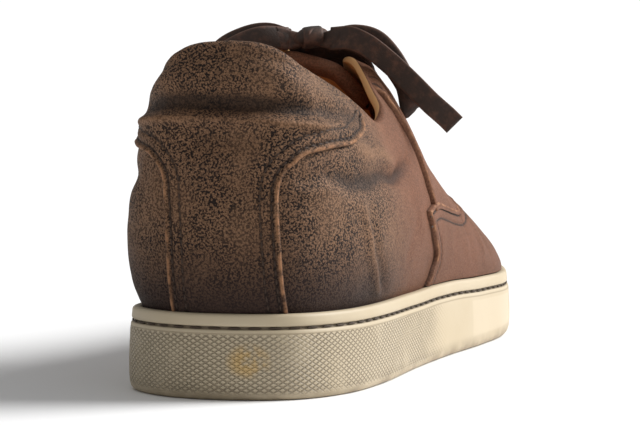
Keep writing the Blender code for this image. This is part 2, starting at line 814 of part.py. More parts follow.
def make_facing(side, name, look):
    """The lace facing on one side of the throat, from its top edge down to the vamp panel."""
    def clip(turn, rise):
        reach = max(abs(turn), read(FACING_REAR, rise)[0])
        low = read(VAMP_TOP, reach)[0] + FACING_GAP
        return side * reach, min(max(rise, low), PANEL_END)

    found = [side * reach for reach in REACHES if VAMP_REACH < reach < FACING_REACH]
    return clipped_panel(name, look, found, UPPER_RISES[1:], clip)


def tongue_station(reach):
    """One cross row of the tongue: points and the directions that face out of them."""
    row = []
    for share in TONGUE_SHARES:
        gap = abs(share) * TONGUE_WIDTH / 2 - THROAT_WIDTH / 2
        if gap >= 0:
            turn = reach if share > 0 else -reach
            rise = rise_below_top(turn, gap)
            normal = skin_normal(turn, rise)
            point = bare_skin(turn, rise) - normal * (LEATHER + 3 * CLEARANCE)
        else:
            turns = (reach, -reach)
            normals = [skin_normal(turn, 1.0) for turn in turns]
            sunk = LEATHER + 2 * CLEARANCE
            points = [bare_skin(turn, 1.0) - n * sunk for turn, n in zip(turns, normals)]
            normal = (normals[0] + normals[1]).normalized()
            mix = 0.5 + share * TONGUE_WIDTH / 2 / THROAT_WIDTH
            point = points[1].lerp(points[0], mix)
        row.append((point, normal))
    return row


def make_tongue(look):
    """The padded tongue under the throat, which runs on past the facings' upper corners."""
    stations = [tongue_station(reach) for reach in TONGUE_REACHES]
    ahead = [
        (near[0] - far[0]).normalized() for near, far in zip(stations[0], stations[2])
    ]
    beyond = []
    for share in OVERRUN_SHARES:
        run = TONGUE_OVERRUN * share
        beyond.append([
            (point + way * run, normal) for (point, normal), way in zip(stations[0], ahead)
        ])
    stations = beyond + stations
    outer, inner = [], []
    for index, row in enumerate(stations):
        padded = 1 - smooth_step(3, 8, index)
        thickness = TONGUE_THICKNESS + TONGUE_PAD * padded
        outer.append([point for point, _ in row])
        inner.append([point - normal * thickness for point, normal in row])
    bm = bmesh.new()
    sheet_solid(bm, outer, inner)
    return finish(bm, "tongue", look)


def ribbon(bm, points, normals):
    """A flat lace along a path: its width lies across the path and square to the normals."""
    rows = []
    for index, (point, normal) in enumerate(zip(points, normals)):
        ahead = points[min(index + 1, len(points) - 1)] - points[max(index - 1, 0)]
        across = ahead.cross(normal).normalized() * LACE_WIDTH / 2
        up = across.cross(ahead).normalized() * LACE_THICKNESS / 2
        if up.dot(normal) < 0:
            up.negate()
        rows.append(add_row(bm, [
            point - across - up, point + across - up, point + across + up, point - across + up,
        ]))
    for first, second in zip(rows, rows[1:]):
        join_rows(bm, first, second, closed=True)
    bm.faces.new(rows[0])
    bm.faces.new(rows[-1])


def crossing_path(side, index, following):
    """The lace's path from one hole over the throat to a hole of the other side."""
    start, start_normal = hole_place(side, index)
    end, end_normal = hole_place(-side, following)
    lift = PANEL_TOP + CLEARANCE + LACE_THICKNESS / 2 + LACE_LIFT
    start, end = start + start_normal * lift, end + end_normal * lift
    reach = hole_turn((index + following) / 2)
    edges = [skin(turn, 1.0, lift) for turn in (reach, -reach)]
    up = (skin_normal(reach, 1.0) + skin_normal(-reach, 1.0)).normalized()
    arch = max(((edges[0] + edges[1]) / 2 - (start + end) / 2).dot(up), 0.0) + 3 * CLEARANCE
    points, normals = [], []
    for step in range(CROSSING_STEPS + 1):
        t = step / CROSSING_STEPS
        points.append(start.lerp(end, t) + up * arch * (1 - abs(2 * t - 1) ** 4))
        normals.append(start_normal.lerp(end_normal, t).lerp(up, 1 - abs(2 * t - 1)).normalized())
    return points, normals


def make_lace_bars(look):
    """The lace's crossings over the tongue, joined where they cross and where they meet."""
    crossings = [(1, 0, 0)]
    for index in range(HOLE_PAIRS - 1):
        crossings += [(1, index, index + 1), (-1, index, index + 1)]
    pieces = []
    for crossing in crossings:
        bm = bmesh.new()
        ribbon(bm, *crossing_path(*crossing))
        pieces.append(bm)
    bars = finish(pieces[0], "lace_bars", look)
    for number, bm in enumerate(pieces[1:], start=1):
        boolean(bars, cutter(bm, f"crossing_{number}"), "UNION")
    return bars


def open_curve(route, step):
    """Points a step apart along a smooth curve through a route's own points."""
    points = [Vector(point) for point in route]
    points = [2 * points[0] - points[1], *points, 2 * points[-1] - points[-2]]
    curve = []
    for p0, p1, p2, p3 in zip(points, points[1:], points[2:], points[3:]):
        count = max(1, round((p2 - p1).length / step))
        for index in range(count):
            t = index / count
            curve.append(
                0.5 * (2 * p1 + (p2 - p0) * t + (2 * p0 - 5 * p1 + 4 * p2 - p3) * t ** 2
                       + (3 * p1 - p0 - 3 * p2 + p3) * t ** 3)
            )
    return curve + [points[-2]]


def make_cord(name, route, look):
    """A free part of the lace, as a tube along its route."""
    curve = bpy.data.curves.new(name, "CURVE")
    curve.dimensions = "3D"
    curve.bevel_depth = LACE_THICKNESS * 1.2
    curve.bevel_resolution = 2
    curve.use_fill_caps = True
    points = open_curve(route, LACE_STEP)
    spline = curve.splines.new("POLY")
    spline.points.add(len(points) - 1)
    for place, point in zip(spline.points, points):
        place.co = (*point, 1.0)
    curve.materials.append(look)
    made = bpy.data.objects.new(name, curve)
    bpy.context.collection.objects.link(made)
    return made


def make_knot(look):
    """The bow's knot, a flattened lump over the uppermost crossing."""
    bm = bmesh.new()
    size = Matrix.Diagonal((*KNOT_SIZE, 1))
    bmesh.ops.create_icosphere(
        bm, subdivisions=2, radius=0.5, matrix=Matrix.Translation(KNOT_CENTRE) @ size
    )
    return finish(bm, "lace_knot", look)


def main():
    clear_scene()
    leather = material("leather", LEATHER_LOOK)
    panel_leather = material("panel_leather", PANEL_LOOK)
    lining = material("lining", LINING_LOOK)
    rubber = material("rubber", RUBBER_LOOK)
    lace = material("lace", LACE_LOOK)

    make_cupsole(rubber)
    make_insole(lining)
    holes = hole_cutter()
    upper = make_upper(leather)
    boolean(upper, holes, "DIFFERENCE")
    make_heel_panel(panel_leather)
    make_vamp_panel(panel_leather)
    for side, name in ((1, "facing_outer"), (-1, "facing_inner")):
        boolean(make_facing(side, name, panel_leather), holes, "DIFFERENCE")
    make_tongue(leather)
    make_lace_bars(lace)
    make_knot(lace)
    make_cord("lace_loop_outer", LOOP_OUTER_ROUTE, lace)
    make_cord("lace_end_outer", END_OUTER_ROUTE, lace)
    make_cord("lace_loop_inner", LOOP_INNER_ROUTE, lace)
    make_cord("lace_end_inner", END_INNER_ROUTE, lace)


main()
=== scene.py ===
"""The finished look of a worn low sneaker for the right foot, laid out as a Blender add-on.

The toe points along +Y, the outer side of the foot along +X, and the floor is at Z = 0. A place on
the upper is given by its turn, which runs round the outline from the heel (0) to the toe (1 by the
outer side, -1 by the inner side), and by its rise, from -1 on the cup's floor through 0 at the rim
to 1 at the top line.
"""

import math

import bmesh
import bpy
import numpy as np
from bpy.props import FloatProperty, FloatVectorProperty, PointerProperty
from mathutils import Matrix, Vector, kdtree


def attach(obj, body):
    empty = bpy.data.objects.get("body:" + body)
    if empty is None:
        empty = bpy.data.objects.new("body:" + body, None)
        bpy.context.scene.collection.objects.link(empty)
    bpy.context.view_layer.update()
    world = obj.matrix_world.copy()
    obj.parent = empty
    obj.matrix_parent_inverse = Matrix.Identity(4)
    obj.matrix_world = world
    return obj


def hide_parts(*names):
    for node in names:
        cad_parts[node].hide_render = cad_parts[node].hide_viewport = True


bl_info = {
    "name": "Worn Sneaker",
    "version": (1, 0, 0),
    "blender": (4, 5, 0),
    "location": "View3D > Sidebar > Sneaker",
    "description": "Dresses the frame of a worn leather sneaker",
    "category": "Object",
}

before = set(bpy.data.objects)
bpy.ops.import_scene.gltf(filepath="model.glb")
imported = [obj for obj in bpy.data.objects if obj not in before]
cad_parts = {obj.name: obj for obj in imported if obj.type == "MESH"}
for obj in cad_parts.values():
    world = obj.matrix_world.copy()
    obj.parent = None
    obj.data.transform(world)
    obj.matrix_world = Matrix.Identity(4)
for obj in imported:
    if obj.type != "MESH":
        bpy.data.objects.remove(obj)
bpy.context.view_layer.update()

# Sizes of the shoe, in metres
LENGTH = 0.2975
BALL_WIDTH = 0.101
HEEL_WIDTH = 0.080
BACK_HEIGHT = 0.1105
SIDE_HEIGHT = 0.0825
INSTEP_HEIGHT = 0.104
THROAT_FOOT_HEIGHT = 0.0648
TOE_BOX_HEIGHT = 0.0435
WALL_HEIGHT = 0.0273
TOE_SPRING = 0.0075
ARCH_RISE = 0.0014
CUP_FLOOR = 0.0125
RIM_WIDTH = 0.0029
RIM_SETBACK = 0.0013
TREAD_GROOVE = 0.0024
TREAD_DEPTH = 0.0018
TREAD_PITCH = 0.0075
TREAD_MARGIN = 0.0090
TREAD_SLOPE = 0.0003
MIDDLE_ENDS = (0.034, 0.040)
LEATHER = 0.0024
COLLAR_PAD = 0.0048
INSOLE_THICKNESS = 0.0035
TONGUE_WIDTH = 0.054
TONGUE_OVERRUN = 0.012
TONGUE_THICKNESS = 0.0052
TONGUE_THINNING = 0.0020
TONGUE_STRIP = 0.0034
THROAT_WIDTH = 0.022
HOLE_SETBACK = 0.0095
HOLE_RIM = 0.0002
HOLE_SINK = 0.0028
HOLE_DIP = 0.0022
LACE_LIFT = 0.0016
LACE_ARCH = 0.0009
END_CUP = -0.0007
LOOP_CUP = 0.0003
SOLE_STITCH_INSET = 0.00125
SOLE_STITCH_DROP = 0.00445
SOLE_STITCH_RADIUS = 0.00038
PANEL_STITCH_LIFT = 0.00105
PANEL_STITCH_RADIUS = 0.00033
STITCH_ROWS = (0.0025, 0.0061)
MERGED = 2e-6
CLEARANCE = 0.0003
PANEL_LIFT = 0.0017
HALF_ROUND = 0.39
COLUMN_LENGTH = 0.078

# Counts, places as turns of the upper, and shares of LENGTH for the treads
HOLE_PAIRS = 6
HOLE_SPAN = (0.480, 0.685)
TONGUE_REACHES = (0.50, 0.53, 0.56, 0.60, 0.64, 0.68, 0.72, 0.76)
TONGUE_BENDS = 10
TREAD_START = 0.045
TREAD_SPANS = ((0.04, 0.305), (0.595, 0.905))
CROSSING_STEPS = 12
LACE_SIDES = 12
# A stitch's pitch as a share of its length
STITCH_GAP = 1.4

# The outline from the heel round the outer side to the toe and back by the inner side
# along: share of LENGTH; heel: share of HEEL_WIDTH to the side; ball: share of BALL_WIDTH
OUTLINE = (
    (0.000, 0.000, 0.000),
    (0.022, 0.280, 0.000),
    (0.090, 0.440, 0.000),
    (0.192, 0.505, 0.000),
    (0.344, 0.360, 0.130),
    (0.478, 0.000, 0.443),
    (0.608, 0.000, 0.488),
    (0.722, 0.000, 0.498),
    (0.864, 0.000, 0.408),
    (0.968, 0.000, 0.198),
    (1.000, 0.000, -0.075),
    (0.954, 0.000, -0.327),
    (0.826, 0.000, -0.465),
    (0.698, 0.000, -0.496),
    (0.563, 0.000, -0.437),
    (0.428, 0.000, -0.370),
    (0.311, -0.350, -0.095),
    (0.193, -0.490, 0.000),
    (0.085, -0.475, 0.000),
    (0.020, -0.280, 0.000),
)
TOE_ROW = 10
THROAT_END = 0.73

# Top line of the open part: turn; along: share of LENGTH; heel, throat: shares of HEEL_WIDTH and
# THROAT_WIDTH to the side; back, side, instep, foot: shares of the four heights
TOP_LINE = (
    (0.000, 0.030, 0.000, 0.00, 1.00, 0.00, 0.00, 0.00),
    (0.050, 0.033, 0.131, 0.00, 0.97, 0.03, 0.00, 0.00),
    (0.100, 0.044, 0.225, 0.00, 0.87, 0.13, 0.00, 0.00),
    (0.155, 0.074, 0.281, 0.00, 0.71, 0.29, 0.00, 0.00),
    (0.210, 0.128, 0.331, 0.00, 0.52, 0.48, 0.00, 0.00),
    (0.270, 0.202, 0.369, 0.00, 0.28, 0.72, 0.00, 0.00),
    (0.330, 0.282, 0.398, 0.00, 0.00, 1.00, 0.00, 0.00),
    (0.380, 0.332, 0.362, 0.05, 0.00, 0.77, 0.23, 0.00),
    (0.415, 0.360, 0.190, 0.38, 0.00, 0.40, 0.60, 0.00),
    (0.445, 0.388, 0.066, 0.54, 0.00, 0.06, 0.94, 0.00),
    (0.470, 0.412, 0.000, 0.56, 0.00, 0.00, 1.00, 0.00),
    (0.500, 0.440, 0.000, 0.50, 0.00, 0.00, 0.89, 0.11),
    (0.560, 0.497, 0.000, 0.49, 0.00, 0.00, 0.65, 0.35),
    (0.630, 0.567, 0.000, 0.47, 0.00, 0.00, 0.34, 0.66),
    (0.690, 0.627, 0.000, 0.38, 0.00, 0.00, 0.10, 0.90),
    (0.715, 0.649, 0.000, 0.22, 0.00, 0.00, 0.02, 0.98),
    (0.730, 0.657, 0.000, 0.00, 0.00, 0.00, 0.00, 1.00),
)

# Ridge of the closed part: turn; along: share of LENGTH; swing: share of BALL_WIDTH to the inner
# side; foot, toe: shares of the throat foot's and the toe box's heights
RIDGE_LINE = (
    (0.730, 0.657, 0.000, 1.00, 0.00),
    (0.800, 0.716, 0.006, 0.69, 0.31),
    (0.870, 0.776, 0.018, 0.41, 0.59),
    (0.940, 0.832, 0.035, 0.18, 0.82),
    (1.000, 0.880, 0.052, 0.00, 1.00),
)

# The side's section, as handles of a curve from the rim to the top line, shares of BALL_WIDTH
# turn; up and out from the rim; out and down from the top line
SECTIONS = (
    (0.000, 0.200, 0.060, 0.040, 0.220),
    (0.080, 0.190, 0.085, 0.055, 0.220),
    (0.160, 0.165, 0.105, 0.090, 0.215),
    (0.270, 0.165, 0.098, 0.083, 0.190),
    (0.340, 0.190, 0.090, 0.070, 0.180),
    (0.415, 0.230, 0.080, 0.130, 0.120),
    (0.470, 0.240, 0.062, 0.155, 0.095),
    (0.560, 0.210, 0.034, 0.095, 0.095),
    (0.650, 0.150, 0.012, 0.075, 0.075),
    (0.730, 0.128, 0.006, 0.105, 0.000),
    (0.800, 0.125, 0.004, 0.130, 0.000),
    (0.870, 0.120, 0.008, 0.140, 0.000),
    (0.940, 0.130, 0.016, 0.150, 0.000),
    (1.000, 0.135, 0.020, 0.150, 0.000),
)

# The inner side's top line: turn; higher: share of INSTEP_HEIGHT; wider: share of HEEL_WIDTH
INNER_SIDE = (
    (0.000, 0.000, 0.000),
    (0.100, 0.000, 0.025),
    (0.180, 0.002, 0.036),
    (0.300, 0.006, 0.015),
    (0.415, 0.034, 0.000),
    (0.470, 0.044, 0.000),
    (0.600, 0.008, 0.000),
    (0.730, 0.000, 0.000),
)

# Along the shoe: along; wall: share of WALL_HEIGHT; floor: share of CUP_FLOOR
WALL_LINE = (
    (0.00, 1.000, 1.00),
    (0.37, 0.934, 0.90),
    (0.67, 0.865, 0.68),
    (1.00, 0.690, 0.62),
)

# Pad of the collar: turn; share of COLLAR_PAD
PAD_LINE = ((0.00, 1.00), (0.15, 1.00), (0.33, 0.70), (0.42, 0.15), (0.47, 0.00), (1.00, 0.00))

# Heel panel's edge: rise; turn of its outer-side edge; turn of its inner-side edge
HEEL_PANEL_EDGE = (
    (0.00, 0.064, 0.062),
    (0.14, 0.058, 0.061),
    (0.34, 0.056, 0.063),
    (0.48, 0.058, 0.069),
    (0.54, 0.065, 0.074),
    (0.58, 0.078, 0.084),
    (0.62, 0.095, 0.100),
    (0.65, 0.121, 0.124),
    (0.68, 0.150, 0.150),
    (0.71, 0.184, 0.180),
    (0.75, 0.208, 0.204),
    (0.80, 0.237, 0.232),
    (0.86, 0.258, 0.254),
    (0.93, 0.273, 0.270),
    (1.00, 0.284, 0.281),
)

# Vamp panel's edges: its rear edge as rise, turn, and its top edge as turn, rise
VAMP_REAR = (
    (0.00, 0.409),
    (0.07, 0.419),
    (0.14, 0.430),
    (0.20, 0.421),
    (0.28, 0.408),
    (0.38, 0.399),
)
VAMP_TOP = (
    (0.400, 0.368),
    (0.420, 0.352),
    (0.450, 0.332),
    (0.505, 0.328),
    (0.570, 0.341),
    (0.620, 0.400),
    (0.660, 0.490),
    (0.700, 0.650),
    (0.730, 0.850),
    (0.744, 0.930),
    (0.757, 1.000),
    (1.000, 1.000),
)
FACING_REAR = ((0.30, 0.436), (0.60, 0.424), (0.85, 0.412), (1.00, 0.412))
FACING_START = 0.412
FACING_REACH = 0.722
FACING_TUCK = 0.03
VAMP_START = 0.398
PANEL_FOOT = 0.01
# How far each edge line runs, and how far its stitches do: rises, but turns for the vamp's top
HEEL_SPANS = ((PANEL_FOOT, 0.988), (0.020, 0.950))
VAMP_REAR_SPANS = ((PANEL_FOOT, 0.368), (0.020, 0.350))
VAMP_TOP_SPANS = ((0.400, 0.757), (0.402, 0.752))
FACING_SPANS = ((0.300, 0.992), (0.360, 0.960))
EDGE, STITCHES = 0, 1

# Where the lining starts on the rounded top edge: turn; share of the way from outside to inside
LINING_SEAM = (
    (0.00, 0.62),
    (0.20, 0.66),
    (0.34, 0.62),
    (0.385, 0.35),
    (0.42, 0.18),
    (0.47, 0.22),
    (0.52, 0.40),
    (0.73, 0.45),
)

# Sole's wall from the floor up: inset from the outline; share of the wall; drop below the rim
SOLE_PROFILE = (
    (0.0034, 0.000, 0.00000),
    (0.0022, 0.003, 0.00000),
    (0.0013, 0.015, 0.00000),
    (0.0006, 0.045, 0.00000),
    (0.0002, 0.100, 0.00000),
    (0.0000, 0.200, 0.00000),
    (0.0000, 0.300, 0.00000),
    (0.0000, 0.400, 0.00000),
    (0.0001, 0.480, 0.00000),
    (0.0002, 0.560, 0.00000),
    (0.0003, 0.640, 0.00000),
    (0.0004, 0.720, 0.00000),
    (0.0006, 1.000, 0.00600),
    (0.0007, 1.000, 0.00535),
    (0.0009, 1.000, 0.00505),
    (0.0015, 1.000, 0.00485),
    (0.0022, 1.000, 0.00445),
    (0.0017, 1.000, 0.00405),
    (0.0011, 1.000, 0.00385),
    (0.0009, 1.000, 0.00340),
    (0.0010, 1.000, 0.00240),
    (0.0011, 1.000, 0.00120),
    (0.0013, 1.000, 0.00055),
    (0.0018, 1.000, 0.00012),
    (0.0024, 1.000, 0.00000),
    (0.0034, 1.000, 0.00000),
    (0.0041, 1.000, 0.00010),
    (0.0043, 1.000, 0.00080),
)

# Creases of the leather: height (a trough is below 0) and half-width in mm; then turn, rise points
CREASES = (
    (-2.9, 3.4, (-0.190, 0.850), (-0.100, 0.812), (-0.037, 0.784), (0.003, 0.775), (0.066, 0.780),
     (0.120, 0.805), (0.170, 0.840)),
    (1.9, 1.9, (-0.200, 0.800), (-0.100, 0.752), (-0.037, 0.726), (0.003, 0.718), (0.066, 0.722),
     (0.120, 0.745), (0.190, 0.795)),
    (-1.7, 3.6, (0.131, 0.803), (0.200, 0.855), (0.250, 0.905), (0.290, 0.950)),
    (-1.0, 5.0, (-0.060, 0.650), (0.005, 0.655), (0.060, 0.645)),
    (0.7, 3.0, (-0.055, 0.575), (0.005, 0.585), (0.052, 0.575)),
    (-2.5, 3.9, (0.110, 0.565), (0.150, 0.572), (0.186, 0.569), (0.230, 0.600), (0.275, 0.653),
     (0.342, 0.715), (0.372, 0.690), (0.397, 0.600)),
    (1.3, 5.0, (0.170, 0.690), (0.240, 0.720), (0.300, 0.780), (0.345, 0.800)),
    (-0.9, 2.2, (0.073, 0.512), (0.092, 0.534), (0.125, 0.569), (0.145, 0.562)),
    (0.7, 2.0, (0.076, 0.480), (0.100, 0.500), (0.130, 0.530)),
    (1.1, 3.4, (0.192, 0.559), (0.180, 0.422), (0.183, 0.281), (0.206, 0.109), (0.239, 0.006)),
    (-1.2, 4.0, (0.216, 0.540), (0.203, 0.422), (0.206, 0.281), (0.230, 0.109), (0.255, 0.006)),
    (-1.7, 3.6, (-0.110, 0.565), (-0.150, 0.572), (-0.200, 0.575), (-0.260, 0.630), (-0.330, 0.700)),
    (1.1, 5.0, (-0.170, 0.690), (-0.240, 0.720), (-0.310, 0.790)),
    (1.0, 3.4, (-0.192, 0.540), (-0.182, 0.400), (-0.188, 0.240), (-0.220, 0.010)),
    (-1.0, 4.0, (-0.216, 0.520), (-0.206, 0.400), (-0.212, 0.240), (-0.244, 0.010)),
    (-1.2, 2.6, (0.560, 0.120), (0.585, 0.300), (0.620, 0.520), (0.680, 0.640)),
    (-1.3, 2.4, (0.640, 0.080), (0.665, 0.300), (0.710, 0.560), (0.760, 0.780)),
    (0.8, 3.0, (0.605, 0.100), (0.630, 0.300), (0.670, 0.500)),
    (-1.0, 2.4, (0.700, 0.100), (0.740, 0.360), (0.790, 0.640), (0.830, 0.900)),
    (-1.2, 2.6, (-0.560, 0.120), (-0.585, 0.300), (-0.620, 0.520), (-0.680, 0.640)),
    (-1.3, 2.4, (-0.640, 0.080), (-0.665, 0.300), (-0.710, 0.560), (-0.760, 0.780)),
    (-1.0, 2.4, (-0.705, 0.100), (-0.745, 0.360), (-0.800, 0.640), (-0.840, 0.900)),
    (-0.8, 5.0, (0.300, 0.200), (0.340, 0.330), (0.375, 0.420)),
    (-0.8, 5.0, (-0.300, 0.200), (-0.340, 0.330), (-0.375, 0.420)),
)

# Height of a panel's turned edge over the leather: distance from the edge; height, in mm
PANEL_EDGE = (
    (0.00, -0.50),
    (0.15, 0.55),
    (0.45, 1.45),
    (0.90, 1.80),
    (1.40, 1.70),
    (2.00, 1.20),
    (2.50, 0.95),
    (3.00, 1.15),
    (3.80, 1.45),
    (5.00, 1.45),
    (5.60, 1.20),
    (6.10, 1.08),
    (6.60, 1.22),
    (7.40, 1.45),
    (12.0, 1.50),
    (400.0, 1.50),
)

# Routes of the bow's parts, in metres, each from the knot outwards
BOW = {
    "lace_loop_outer": (
        (0.0073, -0.0255, 0.1100), (0.0140, -0.0255, 0.1113), (0.0210, -0.0260, 0.1098),
        (0.0265, -0.0270, 0.1048), (0.0310, -0.0275, 0.0975), (0.0335, -0.0280, 0.0900),
        (0.0343, -0.0262, 0.0862), (0.0335, -0.0240, 0.0885), (0.0310, -0.0220, 0.0945),
        (0.0260, -0.0212, 0.1016), (0.0205, -0.0215, 0.1064), (0.0150, -0.0215, 0.1092),
    ),
    "lace_end_outer": (
        (0.0066, -0.0294, 0.1104), (0.0140, -0.0325, 0.1108), (0.0200, -0.0335, 0.1085),
        (0.0255, -0.0335, 0.1045), (0.0310, -0.0335, 0.0998), (0.0365, -0.0330, 0.0945),
        (0.0420, -0.0325, 0.0890), (0.0470, -0.0315, 0.0845), (0.0500, -0.0310, 0.0815),
    ),
    "lace_loop_inner": (
        (-0.0093, -0.0255, 0.1100), (-0.0160, -0.0255, 0.1118), (-0.0230, -0.0260, 0.1110),
        (-0.0315, -0.0270, 0.1070), (-0.0364, -0.0275, 0.1005), (-0.0397, -0.0280, 0.0936),
        (-0.0409, -0.0262, 0.0897), (-0.0400, -0.0245, 0.0926), (-0.0373, -0.0230, 0.0995),
        (-0.0318, -0.0217, 0.1067), (-0.0242, -0.0217, 0.1108), (-0.0180, -0.0217, 0.1116),
    ),
    "lace_end_inner": (
        (-0.0086, -0.0294, 0.1104), (-0.0160, -0.0325, 0.1108), (-0.0226, -0.0335, 0.1090),
        (-0.0297, -0.0350, 0.1048), (-0.0355, -0.0354, 0.0981), (-0.0405, -0.0354, 0.0908),
        (-0.0449, -0.0351, 0.0837), (-0.0476, -0.0347, 0.0767),
    ),
}
KNOT_CENTRE = (-0.0010, -0.0265, 0.1108)
LACE_LEAN = (0.62, -0.15, 0.78)
# Bands round the knot: turn about Z in radians; half-size along Y and Z
KNOT_WRAPS = ((0.35, 0.0056, 0.0030), (-0.45, 0.0050, 0.0026), (1.25, 0.0046, 0.0022))
WRAP_STEPS = 48

# Places and colours of the looks, in metres and linear colour
PORE_SIZE = 0.00085
CRACK_WARP = 0.0009
SMOOTH_FRONT = (-0.110, -0.045)
# Painted shade at the bottom of the eyelet holes, which are sunk dents
HOLE_SHADE = (0.008, 0.006, 0.005)
KNURL_SIZE = (0.0029, 0.0017)
KNURL_END = (0.128, 0.160)
STAIN_MIDDLE = (0.008, 0.0125)
STAIN_SIZE = (0.0065, 0.0050)
STAIN_COLOUR = (0.62, 0.36, 0.07)
GROOVE_DIRT = (0.070, 0.046, 0.028)
# A mark's value where nothing of its kind is near, in mm
NOT_NEAR = 50.0

# Camera fitted to the photograph: its place in the shoe's own frame, and how it is turned
CAMERA_SPOT = (0.3048778, -1.1497376, 0.1456629)
CAMERA_TURN = (-0.2742, -0.0695, -0.0037)
CAMERA_FOCUS = 3400.0
PICTURE = (640, 426)
SHOE_MIDDLE = (456.0, 224.0)
WINDOW_SIDE = (0.72, 0.40, 0.58)
WINDOW_ANGLE = 36
FIT_ORIGIN = 0.0026
CAMERA_REACH = 120.0
FLOOR_SIZE = 60.0


def smooth_step(low, high, value):
    t = np.clip((value - low) / (high - low), 0.0, 1.0)
    return t * t * (3 - 2 * t)


def read(table, keys):
    """The columns after the first, read at many keys on smooth curves through the table's rows."""
    rows = np.array(table, float)
    x, y = rows[:, 0], rows[:, 1:]
    slopes = np.empty_like(y)
    slopes[1:-1] = (y[2:] - y[:-2]) / (x[2:] - x[:-2])[:, None]
    slopes[0] = (y[1] - y[0]) / (x[1] - x[0])
    slopes[-1] = (y[-1] - y[-2]) / (x[-1] - x[-2])
    keys = np.clip(np.asarray(keys, float), x[0], x[-1])
    row = np.clip(np.searchsorted(x, keys, side="right") - 1, 0, len(x) - 2)
    span = (x[row + 1] - x[row])[..., None]
    t = (keys - x[row])[..., None] / span
    values = (
        (1 + 2 * t) * (1 - t) ** 2 * y[row] + t * (1 - t) ** 2 * slopes[row] * span
        + t * t * (3 - 2 * t) * y[row + 1] + t * t * (t - 1) * slopes[row + 1] * span
    )
    return np.moveaxis(values, -1, 0)


def unit(vectors):
    size = np.linalg.norm(vectors, axis=-1, keepdims=True)
    return vectors / np.maximum(size, 1e-12)


def walked_lengths(points):
    """How far along a line of points each one lies."""
    return np.concatenate(([0.0], np.cumsum(np.linalg.norm(np.diff(points, axis=0), axis=1))))


def curve_point(p0, p1, p2, p3, t):
    """A point between p1 and p2 of a smooth curve through all four."""
    return 0.5 * (2 * p1 + (p2 - p0) * t + (2 * p0 - 5 * p1 + 4 * p2 - p3) * t ** 2
                  + (3 * p1 - p0 - 3 * p2 + p3) * t ** 3)


def outline_sides():
    """The outline's two sides as points with their lengths, and the heel's place across."""
    steps = 24
    rough = np.array([(heel * HEEL_WIDTH + ball * BALL_WIDTH, along) for along, heel, ball in OUTLINE])
    t = (np.arange(steps) / steps)[:, None]
    spans = []
    for index in range(len(rough)):
        p0, p1, p2, p3 = (rough[(index + shift) % len(rough)] for shift in (-1, 0, 1, 2))
        spans.append(curve_point(p0, p1, p2, p3, t))
    curve = np.vstack(spans)
    low, high = curve.min(axis=0), curve.max(axis=0)
    middle = (low[0] + high[0]) / 2
    y = ((curve[:, 1] - low[1]) / (high[1] - low[1]) - 0.5) * LENGTH
    curve = np.column_stack((curve[:, 0] - middle, y))
    toe = TOE_ROW * steps
    sides = []
    for points in (curve[:toe + 1], np.vstack((curve[:1], curve[:toe - 1:-1]))):
        sides.append((points, walked_lengths(points)))
    return sides, -middle


SIDES, HEEL_X = outline_sides()


def wrapped(turn):
    """The same turns between -1 and 1, carried on past the toe."""
    return np.where(turn > 1, turn - 2, np.where(turn < -1, turn + 2, turn))


def outline_point(turn):
    turn = wrapped(turn)
    found = []
    for points, along in SIDES:
        place = np.abs(turn) * along[-1]
        found.append(np.stack([np.interp(place, along, points[:, axis]) for axis in (0, 1)], -1))
    return np.where((turn >= 0)[..., None], *found)


def outline_normal(turn):
    ahead = outline_point(turn + 0.012) - outline_point(turn - 0.012)
    return unit(np.stack((ahead[..., 1], -ahead[..., 0]), -1))


def share_along(y):
    return y / LENGTH + 0.5


def bottom_height(x, y):
    """Underside of the sole: flat at heel and ball, raised at the toe and under the inner waist."""
    along = share_along(y)
    spring = TOE_SPRING * np.maximum((along - 0.76) / 0.24, 0.0) ** 1.8
    waist = smooth_step(0.34, 0.44, along) * (1 - smooth_step(0.50, 0.60, along))
    return spring + ARCH_RISE * waist * smooth_step(-0.30, 0.42, -x / BALL_WIDTH)


def rim_height(y):
    return bottom_height(0.0, y) + read(WALL_LINE, share_along(y))[0] * WALL_HEIGHT


def cup_height(y):
    return bottom_height(BALL_WIDTH, y) + read(WALL_LINE, share_along(y))[1] * CUP_FLOOR


def top_place(turn):
    """The top line's points at these turns."""
    side, reach = np.where(turn >= 0, 1.0, -1.0), np.abs(turn)
    along, heel, throat, back, low, instep, foot = read(TOP_LINE, reach)
    higher, wider = read(INNER_SIDE, reach) * (side < 0)
    across = (heel + wider) * HEEL_WIDTH + throat * THROAT_WIDTH
    height = (back * BACK_HEIGHT + low * SIDE_HEIGHT + (instep + higher) * INSTEP_HEIGHT
              + foot * THROAT_FOOT_HEIGHT)
    opened = np.stack((HEEL_X + side * across, (along - 0.5) * LENGTH, height), -1)
    along, swing, foot, toe = read(RIDGE_LINE, reach)
    height = foot * THROAT_FOOT_HEIGHT + toe * TOE_BOX_HEIGHT
    closed = np.stack((HEEL_X - swing * BALL_WIDTH, (along - 0.5) * LENGTH, height), -1)
    return np.where((reach <= THROAT_END)[..., None], opened, closed)


def top_handle(turn):
    """The direction in which the leather leaves the top line."""
    normal = outline_normal(turn)
    reach = np.abs(turn)
    near = np.minimum(reach, 0.99)
    ahead = unit(top_place(near + 0.01) - top_place(near))
    zero = np.zeros_like(reach)
    opened = np.stack((normal[..., 0], normal[..., 1], zero), -1)
    closed = np.stack((normal[..., 0], zero, zero), -1) + ahead * normal[..., 1:2]
    return np.where((reach <= THROAT_END)[..., None], opened, closed)


